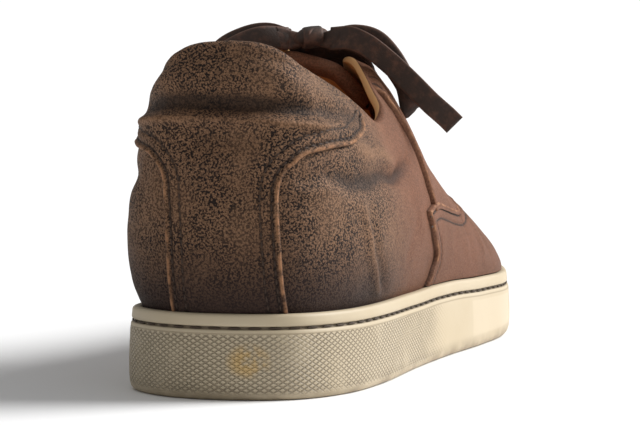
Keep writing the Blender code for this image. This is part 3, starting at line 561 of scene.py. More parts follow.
def bare_skin(turn, rise):
    """The upper's outer surface without its creases."""
    turn = wrapped(turn)
    normal = outline_normal(turn)
    place = outline_point(turn) - normal * (RIM_SETBACK + RIM_WIDTH + CLEARANCE)
    y = place[..., 1]
    rim = np.stack((place[..., 0], y, rim_height(y)), -1)
    up = np.array((0.0, 0.0, 1.0))
    below = rim + (np.minimum(rise, 0) * (rim[..., 2] - cup_height(y) - CLEARANCE))[..., None] * up
    top = top_place(turn)
    foot_up, foot_out, top_out, top_down = (v[..., None] * BALL_WIDTH for v in read(SECTIONS, np.abs(turn)))
    flat = np.concatenate((normal, np.zeros_like(normal[..., :1])), -1)
    low = rim + flat * foot_out + up * foot_up
    high = top + top_handle(turn) * top_out - up * top_down
    t = np.clip(rise, 0, 1)[..., None]
    above = (rim * (1 - t) ** 3 + low * (3 * t * (1 - t) ** 2)
             + high * (3 * t * t * (1 - t)) + top * t ** 3)
    return np.where((rise <= 0)[..., None], below, above)


def one_side_normal(turn, rise):
    low, high = np.clip(rise - 0.01, 0, 0.98), np.clip(rise + 0.01, 0.02, 1)
    level = np.where(np.abs(turn) > THROAT_END, np.clip(rise, 0, 0.985), np.clip(rise, 0, 1))
    round_it = bare_skin(turn + 0.004, level) - bare_skin(turn - 0.004, level)
    up_it = bare_skin(turn, high) - bare_skin(turn, low)
    return unit(np.cross(round_it, up_it))


def skin_normal(turn, rise):
    """The direction that faces out of the upper, the same from both sides along the ridge."""
    turn = wrapped(turn)
    own = one_side_normal(turn, rise)
    share = smooth_step(0.93, 1.0, rise) * (np.abs(turn) >= THROAT_END) / 2
    other = one_side_normal(-turn, rise)
    return unit(own * (1 - share[..., None]) + other * share[..., None])


def crease_height(turn, rise):
    """How far the creases and small waves lift or sink the leather, in metres."""
    turn = wrapped(turn)
    x, y = turn * HALF_ROUND * 1000, rise * COLUMN_LENGTH * 1000
    total = np.zeros_like(x)
    for height, half_width, *points in CREASES:
        line = np.array(points) * (HALF_ROUND * 1000, COLUMN_LENGTH * 1000)
        lengths = np.linalg.norm(np.diff(line, axis=0), axis=1)
        nearest = np.full_like(x, 1e9)
        along = np.zeros_like(x)
        walked = 0.0
        for start, end, length in zip(line, line[1:], lengths):
            ahead = (end - start) / length
            t = np.clip((x - start[0]) * ahead[0] + (y - start[1]) * ahead[1], 0, length)
            away = np.hypot(x - start[0] - ahead[0] * t, y - start[1] - ahead[1] * t)
            closer = away < nearest
            nearest = np.where(closer, away, nearest)
            along = np.where(closer, walked + t, along)
            walked += length
        taper = smooth_step(0, 0.22 * walked, along) * (1 - smooth_step(0.78 * walked, walked, along))
        total += height * (0.15 + 0.85 * taper) * np.exp(-(nearest / half_width) ** 2)
    waves = (
        0.16 * np.sin(x / 7.3 + 1.7 * np.sin(y / 9.1)) * np.sin(y / 6.1 + np.sin(x / 11.0))
        + 0.08 * np.sin(x / 2.9 + y / 4.3 + 2 * np.sin(y / 5.3)) * np.sin(y / 3.1 - x / 6.7)
    )
    hold = smooth_step(0.0, 0.10, rise)
    return (total + waves) * hold / 1000


def skin(turn, rise, lift=0.0):
    """Points of the creased upper, lifted off it or, with a minus, sunk into it."""
    height = crease_height(turn, rise) + lift
    return bare_skin(turn, rise) + skin_normal(turn, rise) * height[..., None]


def wall(turn, rise):
    """The upper's thickness: plain leather, and the collar's pad near the top line."""
    pad = read(PAD_LINE, np.abs(turn))[0] * smooth_step(0.55, 0.85, rise)
    return LEATHER + COLLAR_PAD * pad * (1 - 0.35 * smooth_step(0.85, 1.0, rise))


def mapped_grid(name, columns, rows, surface, look, centre):
    """A grid piece laid over a surface, its faces turned away from the centre.

    surface takes shares along and up, and gives the points and the marks that the material reads.
    """
    bm = bmesh.new()
    bmesh.ops.create_grid(bm, x_segments=columns, y_segments=rows, size=0.5)
    mesh = bpy.data.meshes.new(name)
    bm.to_mesh(mesh)
    flat = np.empty(len(mesh.vertices) * 3)
    mesh.vertices.foreach_get("co", flat)
    u, v = flat.reshape(-1, 3)[:, 0] + 0.5, flat.reshape(-1, 3)[:, 1] + 0.5
    points, marks = surface(u, v)
    mesh.vertices.foreach_set("co", points.ravel())
    for key, values in marks.items():
        if key == "uv":
            corners = np.empty(len(mesh.loops), np.int32)
            mesh.loops.foreach_get("vertex_index", corners)
            mesh.uv_layers.new(name="UVMap").data.foreach_set("uv", values[corners].ravel())
        else:
            mesh.attributes.new(key, "FLOAT", "POINT").data.foreach_set("value", values)
    bm.clear()
    bm.from_mesh(mesh)
    bmesh.ops.remove_doubles(bm, verts=bm.verts, dist=MERGED)
    bm.normal_update()
    middle = Vector(centre)
    if sum((f.calc_center_median() - middle).dot(f.normal) * f.calc_area() for f in bm.faces) < 0:
        bmesh.ops.reverse_faces(bm, faces=bm.faces)
    bm.to_mesh(mesh)
    bm.free()
    return add_piece(name, mesh, look)


def add_object(name, data):
    made = bpy.data.objects.new(name, data)
    bpy.context.scene.collection.objects.link(made)
    return made


def add_piece(name, mesh, look):
    mesh.shade_smooth()
    mesh.materials.append(look)
    piece = add_object(name, mesh)
    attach(piece, "root")
    return piece


def piece_from(name, bm, look):
    """Ends a bmesh as a named, smooth-shaded piece."""
    bmesh.ops.remove_doubles(bm, verts=bm.verts, dist=MERGED)
    bmesh.ops.recalc_face_normals(bm, faces=bm.faces)
    mesh = bpy.data.meshes.new(name)
    bm.to_mesh(mesh)
    bm.free()
    return add_piece(name, mesh, look)


class Tree:
    """Adds nodes to a material or a node group by name, with values or links for their inputs."""

    def __init__(self, tree):
        self.tree = tree

    def add(self, kind, settings=None, **inputs):
        node = self.tree.nodes.new(kind)
        for key, value in (settings or {}).items():
            setattr(node, key, value)
        self.link(node, **inputs)
        return node

    def link(self, node, **inputs):
        """Fills a node's inputs: i0 is the first one, and Base_Color the one of that name."""
        for key, value in inputs.items():
            number = key.removeprefix("i")
            socket = node.inputs[int(number) if number.isdigit() else key.replace("_", " ")]
            if isinstance(value, bpy.types.NodeSocket):
                self.tree.links.new(value, socket)
            elif socket.type == "RGBA":
                socket.default_value = (*value, 1.0)
            else:
                socket.default_value = value

    def finish(self, **inputs):
        self.link(self.tree.nodes["Principled BSDF"], **inputs)

    def maths(self, operation, a, b=0.0, c=0.0):
        return self.add("ShaderNodeMath", {"operation": operation}, i0=a, i1=b, i2=c).outputs[0]

    def times(self, a, b):
        return self.maths("MULTIPLY", a, b)

    def ramp(self, value, low, high, start=0.0, end=1.0):
        """A smooth step of a value between two limits."""
        node = self.add(
            "ShaderNodeMapRange", {"interpolation_type": "SMOOTHSTEP"},
            Value=value, From_Min=low, From_Max=high, To_Min=start, To_Max=end,
        )
        return node.outputs["Result"]

    def fade(self, value, low, high, start=1.0):
        return self.ramp(value, low, high, start, 0.0)

    def band(self, value, low, full, still, high):
        """One between full and still, and nothing below low and above high."""
        return self.times(self.ramp(value, low, full), self.fade(value, still, high))

    def mix(self, share, a, b):
        return self.add("ShaderNodeMix", {"data_type": "RGBA"}, i0=share, i6=a, i7=b).outputs[2]

    def layered(self, base, layers):
        """A colour with others laid over it in turn, each by its own share."""
        for share, colour in layers:
            base = self.mix(share, base, colour)
        return base

    def noise(self, vector, scale, detail=3.0, roughness=0.55):
        node = self.add(
            "ShaderNodeTexNoise", Vector=vector, Scale=scale, Detail=detail, Roughness=roughness,
        )
        return node.outputs["Fac"]

    def object_place(self):
        return self.add("ShaderNodeTexCoord").outputs["Object"]

    def split(self, vector):
        return self.add("ShaderNodeSeparateXYZ", Vector=vector).outputs

    def attribute(self, name):
        return self.add("ShaderNodeAttribute", {"attribute_name": name}).outputs["Fac"]

    def bump(self, height, strength, distance, **under):
        node = self.add("ShaderNodeBump", Height=height, Strength=strength, Distance=distance, **under)
        return node.outputs["Normal"]


def shade(colour, *shares):
    """A colour with each of its parts made lighter or darker."""
    return tuple(part * share for part, share in zip(colour, shares))


def new_material(name):
    """A named material and its tree, which holds only the shader."""
    made = bpy.data.materials.new(name)
    made.use_nodes = True
    return made, Tree(made.node_tree)


def crackle_group():
    """Dark pores and fine cracks in a rubbed leather finish, as a node group of masks."""
    name = "Crackled finish"
    if name in bpy.data.node_groups:
        return bpy.data.node_groups[name]
    made = bpy.data.node_groups.new(name, "ShaderNodeTree")
    made.interface.new_socket("Vector", in_out="INPUT", socket_type="NodeSocketVector")
    made.interface.new_socket("Size", in_out="INPUT", socket_type="NodeSocketFloat")
    for label in ("Dark", "Fine", "Height"):
        made.interface.new_socket(label, in_out="OUTPUT", socket_type="NodeSocketFloat")
    tree = Tree(made)
    given, results = made.nodes.new("NodeGroupInput").outputs, made.nodes.new("NodeGroupOutput")
    place = given["Vector"]
    scale = tree.maths("DIVIDE", 1.0, given["Size"])
    warp = tree.add("ShaderNodeTexNoise", Vector=place, Scale=tree.times(scale, 0.7), Detail=2.0)
    bent = tree.add(
        "ShaderNodeVectorMath", {"operation": "MULTIPLY_ADD"},
        i0=warp.outputs["Color"], i1=(CRACK_WARP, CRACK_WARP, CRACK_WARP), i2=place,
    )
    cells = tree.add(
        "ShaderNodeTexVoronoi", {"feature": "DISTANCE_TO_EDGE"}, Vector=bent.outputs[0], Scale=scale,
    )
    cracks = tree.fade(cells.outputs["Distance"], 0.02, 0.16)
    pores = tree.fade(tree.noise(place, tree.times(scale, 1.25), 2.0, 0.5), 0.44, 0.54)
    fine = tree.noise(place, tree.times(scale, 3.1), 3.0, 0.6)
    worn = tree.ramp(tree.noise(place, 55.0, 3.0, 0.6), 0.30, 0.62)
    dark = tree.maths("MAXIMUM", tree.times(cracks, 0.55), pores)
    dark = tree.times(dark, tree.maths("MULTIPLY_ADD", worn, 0.35, 0.70))
    height = tree.maths("SUBTRACT", tree.times(fine, 0.4), dark)
    tree.link(results, Dark=dark, Fine=fine, Height=height)
    return made


def leather_material(name, light, dark, panel):
    """Rubbed and crackled brown leather, paler on a panel's turned edge and darker in its stitch rows, with
    painted shade low on the upper towards the heel, in crease troughs, along a panel's very edge and in its
    eyelet holes, and a painted highlight on crease ridges.
    """
    made, tree = new_material(name)
    place = tree.object_place()
    crackle = tree.add("ShaderNodeGroup", {"node_tree": crackle_group()}, Vector=place, Size=PORE_SIZE)
    crackle = crackle.outputs
    front = tree.ramp(tree.split(place)["Y"], *SMOOTH_FRONT)
    share = tree.times(crackle["Dark"], tree.maths("MULTIPLY_ADD", front, -0.62, 1.0))
    patch = tree.ramp(tree.noise(place, 24.0, 4.0, 0.6), 0.35, 0.68)
    # Painted shade low on the upper, strongest towards the heel and weaker at the front
    low = tree.fade(tree.attribute("rise"), 0.0, 0.42, 0.92)
    low = tree.times(low, tree.maths("MULTIPLY_ADD", front, -0.8, 1.0))
    crease = tree.attribute("crease")
    layers = [
        (front, shade(light, 0.82, 0.61, 0.58)),
        (tree.times(patch, 0.35), shade(light, 0.55, 0.48, 0.46)),
        (tree.times(crackle["Fine"], 0.40), shade(dark, 2.4, 2.0, 2.0)),
        (share, dark),
        # painted shade low on the upper, towards the heel
        (low, shade(dark, 1.5, 1.25, 1.45)),
        # Painted shade in the crease troughs and a painted highlight on the crease ridges, both read from the
        # crease height
        (tree.fade(crease, -0.0026, -0.0006, 0.74), dark),
        (tree.ramp(crease, 0.0004, 0.0016, 0.0, 0.30), shade(light, 1.15, 1.1, 1.05)),
    ]
    if panel:
        edge = tree.attribute("edge")
        patchy = tree.ramp(tree.noise(place, 240.0), 0.40, 0.62, 0.10, 1.0)
        rubbed = tree.times(tree.band(edge, 0.2, 0.6, 1.2, 1.9), tree.times(patchy, 0.65))
        second_row = tree.times(tree.band(edge, 5.4, 5.9, 6.3, 6.9), 0.7)
        seam = tree.maths("MAXIMUM", tree.band(edge, 1.8, 2.4, 2.7, 3.4), second_row)
        # Painted shade along the panel's very edge, where it meets the leather beside it
        seam = tree.maths("MAXIMUM", seam, tree.fade(edge, 0.0, 0.25))
        layers += [
            (rubbed, shade(light, 1.35, 1.22, 1.1)),
            # darker stitch rows, and painted shade along the panel's very edge
            (tree.times(seam, 0.75), shade(dark, 0.7, 0.7, 0.7)),
            # painted shade at the bottom of each sunk eyelet hole
            (tree.fade(tree.attribute("hole"), 1.7, 2.2), HOLE_SHADE),
        ]
    tree.finish(
        Base_Color=tree.layered(light, layers), Roughness=tree.maths("MULTIPLY_ADD", share, 0.18, 0.60),
        Specular_IOR_Level=0.22, Normal=tree.bump(crackle["Height"], 0.55, 0.0004),
    )
    return made


def lining_material(name, colour, rubbed):
    """Tan lining leather, paler and frayed at its upper edge."""
    made, tree = new_material(name)
    place = tree.object_place()
    base = tree.layered(colour, [
        (tree.ramp(tree.noise(place, 60.0), 0.35, 0.7), shade(colour, 0.72, 0.62, 0.55)),
        (tree.times(tree.fade(tree.attribute("lip"), 0.5, 2.6), 0.85), rubbed),
    ])
    grain = tree.bump(tree.noise(place, 1300.0), 0.35, 0.0003)
    tree.finish(Base_Color=base, Roughness=0.72, Normal=grain)
    return made


def rubber_material(name, colour, grime):
    """Cream moulded rubber with a diamond knurl round the wall, yellowed and dirty at its foot, with painted
    shade towards the heel.

    Its UV map holds the way round from the heel and the height over the floor, in metres.
    """
    made, tree = new_material(name)
    place = tree.object_place()
    flat = tree.split(tree.add("ShaderNodeUVMap").outputs["UV"])
    along, up = flat["X"], flat["Y"]
    reach, drop = tree.maths("ABSOLUTE", along), tree.attribute("drop")

    steps = [tree.maths("DIVIDE", value, size) for value, size in zip((along, up), KNURL_SIZE)]
    waves = [tree.maths("PINGPONG", tree.maths(way, *steps), 0.5) for way in ("ADD", "SUBTRACT")]
    diamonds = tree.ramp(tree.maths("MINIMUM", *waves), 0.03, 0.22)
    knurled = tree.times(tree.fade(reach, *KNURL_END), tree.ramp(up, 0.0015, 0.0035))
    knurled = tree.times(knurled, tree.ramp(drop, 6.2, 6.9))
    scuffed = tree.ramp(tree.noise(place, 38.0), 0.50, 0.66)
    knurled = tree.times(knurled, tree.maths("MULTIPLY_ADD", scuffed, -0.45, 1.0))
    gaps = tree.times(tree.maths("SUBTRACT", 1.0, diamonds), knurled)

    cloud = tree.ramp(tree.noise(place, 18.0, 4.0, 0.6), 0.35, 0.70)
    block = tree.times(tree.ramp(up, 0.004, 0.005), tree.ramp(drop, 7.2, 8.0))
    block = tree.times(tree.band(along, 0.186, 0.188, 0.244, 0.247), block)
    away = [
        tree.maths("POWER", tree.maths("DIVIDE", tree.maths("SUBTRACT", value, middle), size), 2.0)
        for value, middle, size in zip((along, tree.split(place)["Z"]), STAIN_MIDDLE, STAIN_SIZE)
    ]
    yellow = tree.fade(tree.maths("ADD", *away), 0.1, 1.6, 0.55)
    yellow = tree.times(yellow, tree.ramp(tree.noise(place, 300.0, 2.0), 0.3, 0.6))
    foot = tree.ramp(tree.noise(place, 70.0), 0.35, 0.70, 0.25, 1.0)
    foot = tree.times(tree.fade(up, 0.0, 0.0060), foot)
    lip_line = tree.times(tree.ramp(drop, 5.9, 6.1), tree.fade(drop, 6.3, 6.6, 0.45))
    base = tree.layered(colour, [
        (tree.times(cloud, 0.35), shade(colour, 0.80, 0.74, 0.62)),
        # painted shade on the wall towards the heel
        (tree.fade(reach, 0.02, 0.17, 0.12), shade(colour, 0.62, 0.60, 0.54)),
        (tree.times(gaps, 0.50), grime),
        (tree.times(block, 0.35), shade(colour, 1.2, 1.22, 1.3)),
        (tree.ramp(along, 0.244, 0.250, 0.0, 0.30), shade(colour, 0.72, 0.66, 0.56)),
        (yellow, STAIN_COLOUR),
        (tree.times(foot, 0.7), grime),
        (lip_line, grime),
        (tree.times(tree.band(drop, 3.7, 4.1, 4.8, 5.2), 0.70), GROOVE_DIRT),
    ])
    knurl = tree.bump(tree.times(gaps, -1.0), 0.9, 0.0006)
    grain = tree.bump(tree.noise(place, 700.0, 2.0), 0.12, 0.0002, Normal=knurl)
    tree.finish(Base_Color=base, Roughness=0.58, Normal=grain)
    return made


def lace_material(name, colour):
    """Flat oiled leather lace, nearly black-brown with rubbed edges."""
    made, tree = new_material(name)
    place = tree.object_place()
    rub = tree.ramp(tree.noise(place, 260.0, 4.0, 0.65), 0.42, 0.72)
    base = tree.layered(colour, [
        (tree.times(rub, 0.8), shade(colour, 3.4, 2.7, 2.4)),
        (tree.fade(tree.attribute("edge"), 0.0, 0.9, 0.55), shade(colour, 3.8, 3.0, 2.6)),
    ])
    grain = tree.bump(tree.noise(place, 1500.0, 4.0, 0.65), 0.45, 0.0004)
    tree.finish(Base_Color=base, Roughness=0.70, Normal=grain)
    return made


def plain_material(name, colour, roughness):
    made, tree = new_material(name)
    tree.finish(Base_Color=colour, Roughness=roughness)
    return made


def once(name, make, *values):
    """A material made at its first use."""
    return bpy.data.materials.get(name) or make(name, *values)


def smooth_line(route, step):
    """Points a step apart along a smooth curve through a route's own points."""
    points = [Vector(point) for point in route]
    points = [2 * points[0] - points[1], *points, 2 * points[-1] - points[-2]]
    curve = []
    for p0, p1, p2, p3 in zip(points, points[1:], points[2:], points[3:]):
        count = max(1, round((p2 - p1).length / step))
        for index in range(count):
            t = index / count
            curve.append(curve_point(p0, p1, p2, p3, t))
    return curve + [points[-2]]


def heading(path, row):
    return (path[min(row + 1, len(path) - 1)] - path[max(row - 1, 0)]).normalized()


def ribbon(bm, points, acrosses, width, thickness, cup=0.0, narrow=None):
    """A flat lace with rounded edges along a path, its width lying along each across direction."""
    rows = len(points) - 1
    keys = bm.verts.layers.float.get("edge") or bm.verts.layers.float.new("edge")
    for vert in bmesh.ops.create_grid(bm, x_segments=LACE_SIDES, y_segments=rows, size=0.5)["verts"]:
        row = round((vert.co.y + 0.5) * rows)
        across = acrosses[row].normalized()
        up = across.cross(heading(points, row)).normalized()
        angle = 2 * math.pi * round((vert.co.x + 0.5) * LACE_SIDES) / LACE_SIDES
        x = math.copysign(abs(math.cos(angle)) ** 0.45, math.cos(angle))
        z = math.copysign(abs(math.sin(angle)) ** 0.8, math.sin(angle))
        lift = z * thickness / 2 * (1 - 0.25 * x ** 6) + cup * (x * x - 0.4)
        vert[keys] = (1 - abs(x)) * width * 500
        broad = width * narrow[row] if narrow else width
        vert.co = points[row] + across * (x * broad / 2) + up * lift


def close_ends(bm):
    """Merges each ribbon's seam and fills its two ends."""
    bmesh.ops.remove_doubles(bm, verts=bm.verts, dist=MERGED)
    ends = [edge for edge in bm.edges if edge.is_boundary]
    bmesh.ops.holes_fill(bm, edges=ends, sides=0)


def settings(context):
    return context.scene.worn_sneaker


class SoleSettings(bpy.types.PropertyGroup):
    """Looks of the sole."""

    colour: FloatVectorProperty(
        name="Rubber", description="Colour of the clean rubber", subtype="COLOR", size=3,
        default=(0.52, 0.435, 0.305), min=0.0, max=1.0,
    )
    grime: FloatVectorProperty(
        name="Grime", description="Colour of the dirt in the knurl and at the foot", subtype="COLOR",
        size=3, default=(0.15, 0.105, 0.058), min=0.0, max=1.0,
    )
    stitch_pitch: FloatProperty(
        name="Stitch pitch", description="Distance between the groove's stitches", unit="LENGTH",
        default=0.0066, min=0.002, max=0.02,
    )


class LeatherSettings(bpy.types.PropertyGroup):
    """Looks of the leather, its lining and its stitches."""

    light: FloatVectorProperty(
        name="Rubbed leather", description="Colour where the finish is rubbed", subtype="COLOR",
        size=3, default=(0.310, 0.168, 0.090), min=0.0, max=1.0,
    )
    # Besides the pores and cracks, this colour is painted as shade low on the upper, in crease troughs and
    # along a panel's very edge
    dark: FloatVectorProperty(
        name="Pores", description="Colour in the pores and cracks", subtype="COLOR", size=3,
        default=(0.012, 0.0065, 0.0045), min=0.0, max=1.0,
    )
    lining: FloatVectorProperty(
        name="Lining", description="Colour of the lining leather", subtype="COLOR", size=3,
        default=(0.60, 0.29, 0.10), min=0.0, max=1.0,
    )
    fray: FloatVectorProperty(
        name="Frayed edge", description="Colour of the lining's rubbed edge", subtype="COLOR",
        size=3, default=(0.72, 0.42, 0.18), min=0.0, max=1.0,
    )
    stitch: FloatProperty(
        name="Stitch length", description="Length of one stitch", unit="LENGTH", default=0.0021,
        min=0.001, max=0.006,
    )


class LaceSettings(bpy.types.PropertyGroup):
    """Size and look of the lace."""

    width: FloatProperty(
        name="Width", description="Width of the flat lace", unit="LENGTH", default=0.0080,
        min=0.003, max=0.012,
    )
    thickness: FloatProperty(
        name="Thickness", description="Thickness of the flat lace", unit="LENGTH",
        default=0.0017, min=0.0008, max=0.003,
    )
    colour: FloatVectorProperty(
        name="Lace", description="Colour of the lace", subtype="COLOR", size=3,
        default=(0.034, 0.019, 0.013), min=0.0, max=1.0,
    )


class StageSettings(bpy.types.PropertyGroup):
    """Floor, light and framing."""

    floor: FloatVectorProperty(
        name="Floor", description="Colour of the floor", subtype="COLOR", size=3,
        default=(0.92, 0.92, 0.92), min=0.0, max=1.0,
    )
    zoom: FloatProperty(
        name="Zoom", description="Size in the picture, as a share of the photograph's",
        default=1.12, min=0.5, max=2.0,
    )
    daylight: FloatProperty(
        name="Daylight", description="Strength of the even light from all round", default=0.36,
        min=0.0, max=5.0,
    )
    window: FloatProperty(
        name="Window", description="Strength of the light from the toe's outer side", default=4.6,
        min=0.0, max=20.0,
    )


class SneakerSettings(bpy.types.PropertyGroup):
    """All of the sneaker's settings."""

    sole: PointerProperty(type=SoleSettings, name="Sole", description="Looks of the sole")
    leather: PointerProperty(type=LeatherSettings, name="Leather", description="Looks of the leather")
    lace: PointerProperty(type=LaceSettings, name="Lace", description="Size and look of the lace")
    stage: PointerProperty(type=StageSettings, name="Stage", description="Floor, light and framing")


def leather_looks(context):
    look = settings(context).leather
    return (
        once("quarter_leather", leather_material, tuple(look.light), tuple(look.dark), False),
        once("panel_leather_look", leather_material, tuple(look.light), tuple(look.dark), True),
        once("lining_leather", lining_material, tuple(look.lining), tuple(look.fray)),
    )


class SNEAKER_OT_stage(bpy.types.Operator):
    """Sets the camera, the pale floor and the soft light"""

    bl_idname = "sneaker.stage"
    bl_label = "Stage"

    def execute(self, context):
        look = settings(context).stage
        psi, tau, rho = CAMERA_TURN
        forward = Vector((math.sin(psi) * math.cos(tau), math.cos(psi) * math.cos(tau), math.sin(tau)))
        right = Vector((math.cos(psi), -math.sin(psi), 0.0))
        up = right.cross(forward)
        right, up = math.cos(rho) * right + math.sin(rho) * up, math.cos(rho) * up - math.sin(rho) * right
        over = [middle - size / 2 for middle, size in zip(SHOE_MIDDLE, PICTURE)]
        aim = (forward * CAMERA_FOCUS + right * over[0] - up * over[1]).normalized()
        side = aim.cross(up).normalized()
        top = side.cross(aim)
        data = bpy.data.cameras.new("photo_camera")
        data.lens = CAMERA_FOCUS * look.zoom * data.sensor_width / PICTURE[0]
        data.clip_end = CAMERA_REACH
        x, y, z = CAMERA_SPOT
        spot = Vector((x + HEEL_X, y + FIT_ORIGIN - LENGTH / 2, z))
        camera = add_object("photo_camera", data)
        camera.matrix_world = Matrix.Translation(spot) @ Matrix((side, top, -aim)).transposed().to_4x4()
        context.scene.camera = camera

        bm = bmesh.new()
        bmesh.ops.create_grid(bm, x_segments=1, y_segments=1, size=FLOOR_SIZE)
        mesh = bpy.data.meshes.new("floor")
        bm.to_mesh(mesh)
        bm.free()
        mesh.materials.append(plain_material("floor_white", tuple(look.floor), 0.85))
        floor = add_object("floor", mesh)

        world = bpy.data.worlds.new("studio")
        world.use_nodes = True
        back = world.node_tree.nodes["Background"]
        back.inputs["Color"].default_value = (1.0, 1.0, 1.0, 1.0)
        back.inputs["Strength"].default_value = look.daylight
        context.scene.world = world
        context.scene.view_settings.view_transform = "Standard"
        lamp = bpy.data.lights.new("window_light", "SUN")
        lamp.energy = look.window
        lamp.angle = math.radians(WINDOW_ANGLE)
        light = add_object("window_light", lamp)
        light.rotation_euler = Vector(WINDOW_SIDE).to_track_quat("Z", "Y").to_euler()
        return {"FINISHED"}


def bow_side(name):
    return 1 if "outer" in name else -1


def bow_lean(name):
    """The direction in which the bow's flat laces lie across."""
    x, y, z = LACE_LEAN
    return Vector((bow_side(name) * x, y, z))


def lace_piece(name, node, bm, look):
    close_ends(bm)
    piece = piece_from(name, bm, look)
    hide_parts(node)
    return piece


class SNEAKER_OT_laces(bpy.types.Operator):
    """Makes the lace's crossings, its knot and the bow's four free parts"""

    bl_idname = "sneaker.laces"
    bl_label = "Laces"

    def execute(self, context):
        look = settings(context).lace
        lace = once("oiled_lace", lace_material, tuple(look.colour))
        for name, route in BOW.items():
            path, lean, cut = smooth_line(route, 0.0012), bow_lean(name), "end" in name
            aheads = [heading(path, row) for row in range(len(path))]
            bm = bmesh.new()
            ribbon(
                bm, path, [lean - ahead * lean.dot(ahead) for ahead in aheads], look.width, look.thickness,
                END_CUP if cut else LOOP_CUP,
            )
            piece = lace_piece(f"{name}_lace", name, bm, lace)

        bm = bmesh.new()
        crossings = [(side, index, index + 1) for index in range(HOLE_PAIRS - 1) for side in (1, -1)]
        for crossing in [(1, 0, 0), *crossings]:
            ribbon(bm, *crossing_path(*crossing), look.width * 0.92, look.thickness * 0.85)
        lace_piece("crossing_laces", "lace_bars", bm, lace)

        bm = bmesh.new()
        centre = Vector(KNOT_CENTRE)
        for name, route in BOW.items():
            start, following = Vector(route[0]), Vector(route[1])
            bend = centre + Vector((bow_side(name) * 0.0030, (start.y - KNOT_CENTRE[1]) * 0.6, -0.0006))
            path = smooth_line((centre, bend, start, following.lerp(start, 0.6)), 0.0008)
            across = bow_lean(name) - (following - start).normalized() * 0.4
            last = len(path) - 1
            shares = [0.42 + 0.60 * min(row / last / 0.8, 1.0) ** 1.3 for row in range(len(path))]
            ribbon(bm, path, [across] * len(path), look.width, look.thickness * 1.1, narrow=shares)
        for turned, half_y, half_z in KNOT_WRAPS:
            turning = Matrix.Rotation(turned, 3, "Z")
            path, acrosses = [], []
            for step in range(WRAP_STEPS + 1):
                angle = 2 * math.pi * step / WRAP_STEPS
                offset = Vector((0.0, half_y * math.cos(angle), half_z * math.sin(angle)))
                path.append(centre + turning @ offset)
                acrosses.append(turning @ Vector((1.0, 0.12 * math.sin(2 * angle), 0.1)))
            ribbon(bm, path, acrosses, look.width * 0.85, look.thickness)
        lace_piece("knot_lace", "lace_knot", bm, lace)
        return {"FINISHED"}


def hole_turn(index):
    first, last = HOLE_SPAN
    return first + (last - first) * index / (HOLE_PAIRS - 1)


def rise_below_top(turn, gap):
    """The rise of the point that lies that far below the top line, measured on the leather."""
    rises = np.linspace(1, 0, 160)
    return float(np.interp(gap, walked_lengths(bare_skin(np.full_like(rises, turn), rises)), rises))


def skin_at(turn, rise, lift=0.0):
    """One point of the upper and its normal, as vectors."""
    turn, rise = np.array([turn]), np.array([rise])
    return Vector(skin(turn, rise, lift)[0]), Vector(skin_normal(turn, rise)[0])


def hole_place(side, index):
    turn = side * hole_turn(index)
    return skin_at(turn, rise_below_top(turn, HOLE_SETBACK))


def crossing_path(side, index, following):
    """The lace's path from inside one hole over the throat and into a hole of the other side."""
    start, start_normal = hole_place(side, index)
    end, end_normal = hole_place(-side, following)
    lift = PANEL_LIFT + LACE_LIFT
    reach = hole_turn((index + following) / 2)
    (edge, edge_normal), (far_edge, far_normal) = (skin_at(turn, 1.0, lift) for turn in (reach, -reach))
    up = (edge_normal + far_normal).normalized()
    low, high = start + start_normal * lift, end + end_normal * lift
    arch = max(((edge + far_edge) / 2 - (low + high) / 2).dot(up) + LACE_ARCH, LACE_ARCH)
    route = [start - start_normal * HOLE_DIP, start + start_normal * lift * 0.75]
    for step in range(1, CROSSING_STEPS):
        t = step / CROSSING_STEPS
        route.append(low.lerp(high, t) + up * arch * (1 - abs(2 * t - 1) ** 4))
    route += [end + end_normal * lift * 0.75, end - end_normal * HOLE_DIP]
    points = smooth_line(route, 0.0013)
    chord = (end - start).normalized()
    acrosses = []
    for row in range(len(points)):
        t = row / (len(points) - 1)
        normal = start_normal.lerp(end_normal, t).lerp(up, 1 - abs(2 * t - 1))
        acrosses.append(chord.cross(normal).normalized())
    return points, acrosses


def medial_line(place):
    """The points of the shoe's middle line beside outline points."""
    y = np.clip(place[..., 1], -LENGTH / 2 + MIDDLE_ENDS[0], LENGTH / 2 - MIDDLE_ENDS[1])
    middle = sum(np.interp(y, points[:, 1], points[:, 0]) / 2 for points, _ in SIDES)
    return np.stack((middle, y), -1)


def add_stitch(bm, start, end, radius):
    """One stitch, as a short rounded rod."""
    middle, ahead = (start + end) / 2, end - start
    turned = ahead.to_track_quat("Z", "Y").to_matrix().to_4x4()
    size = Matrix.Diagonal((radius, radius, ahead.length / 2, 1))
    bmesh.ops.create_uvsphere(
        bm, u_segments=6, v_segments=4, radius=1.0, matrix=Matrix.Translation(middle) @ turned @ size
    )


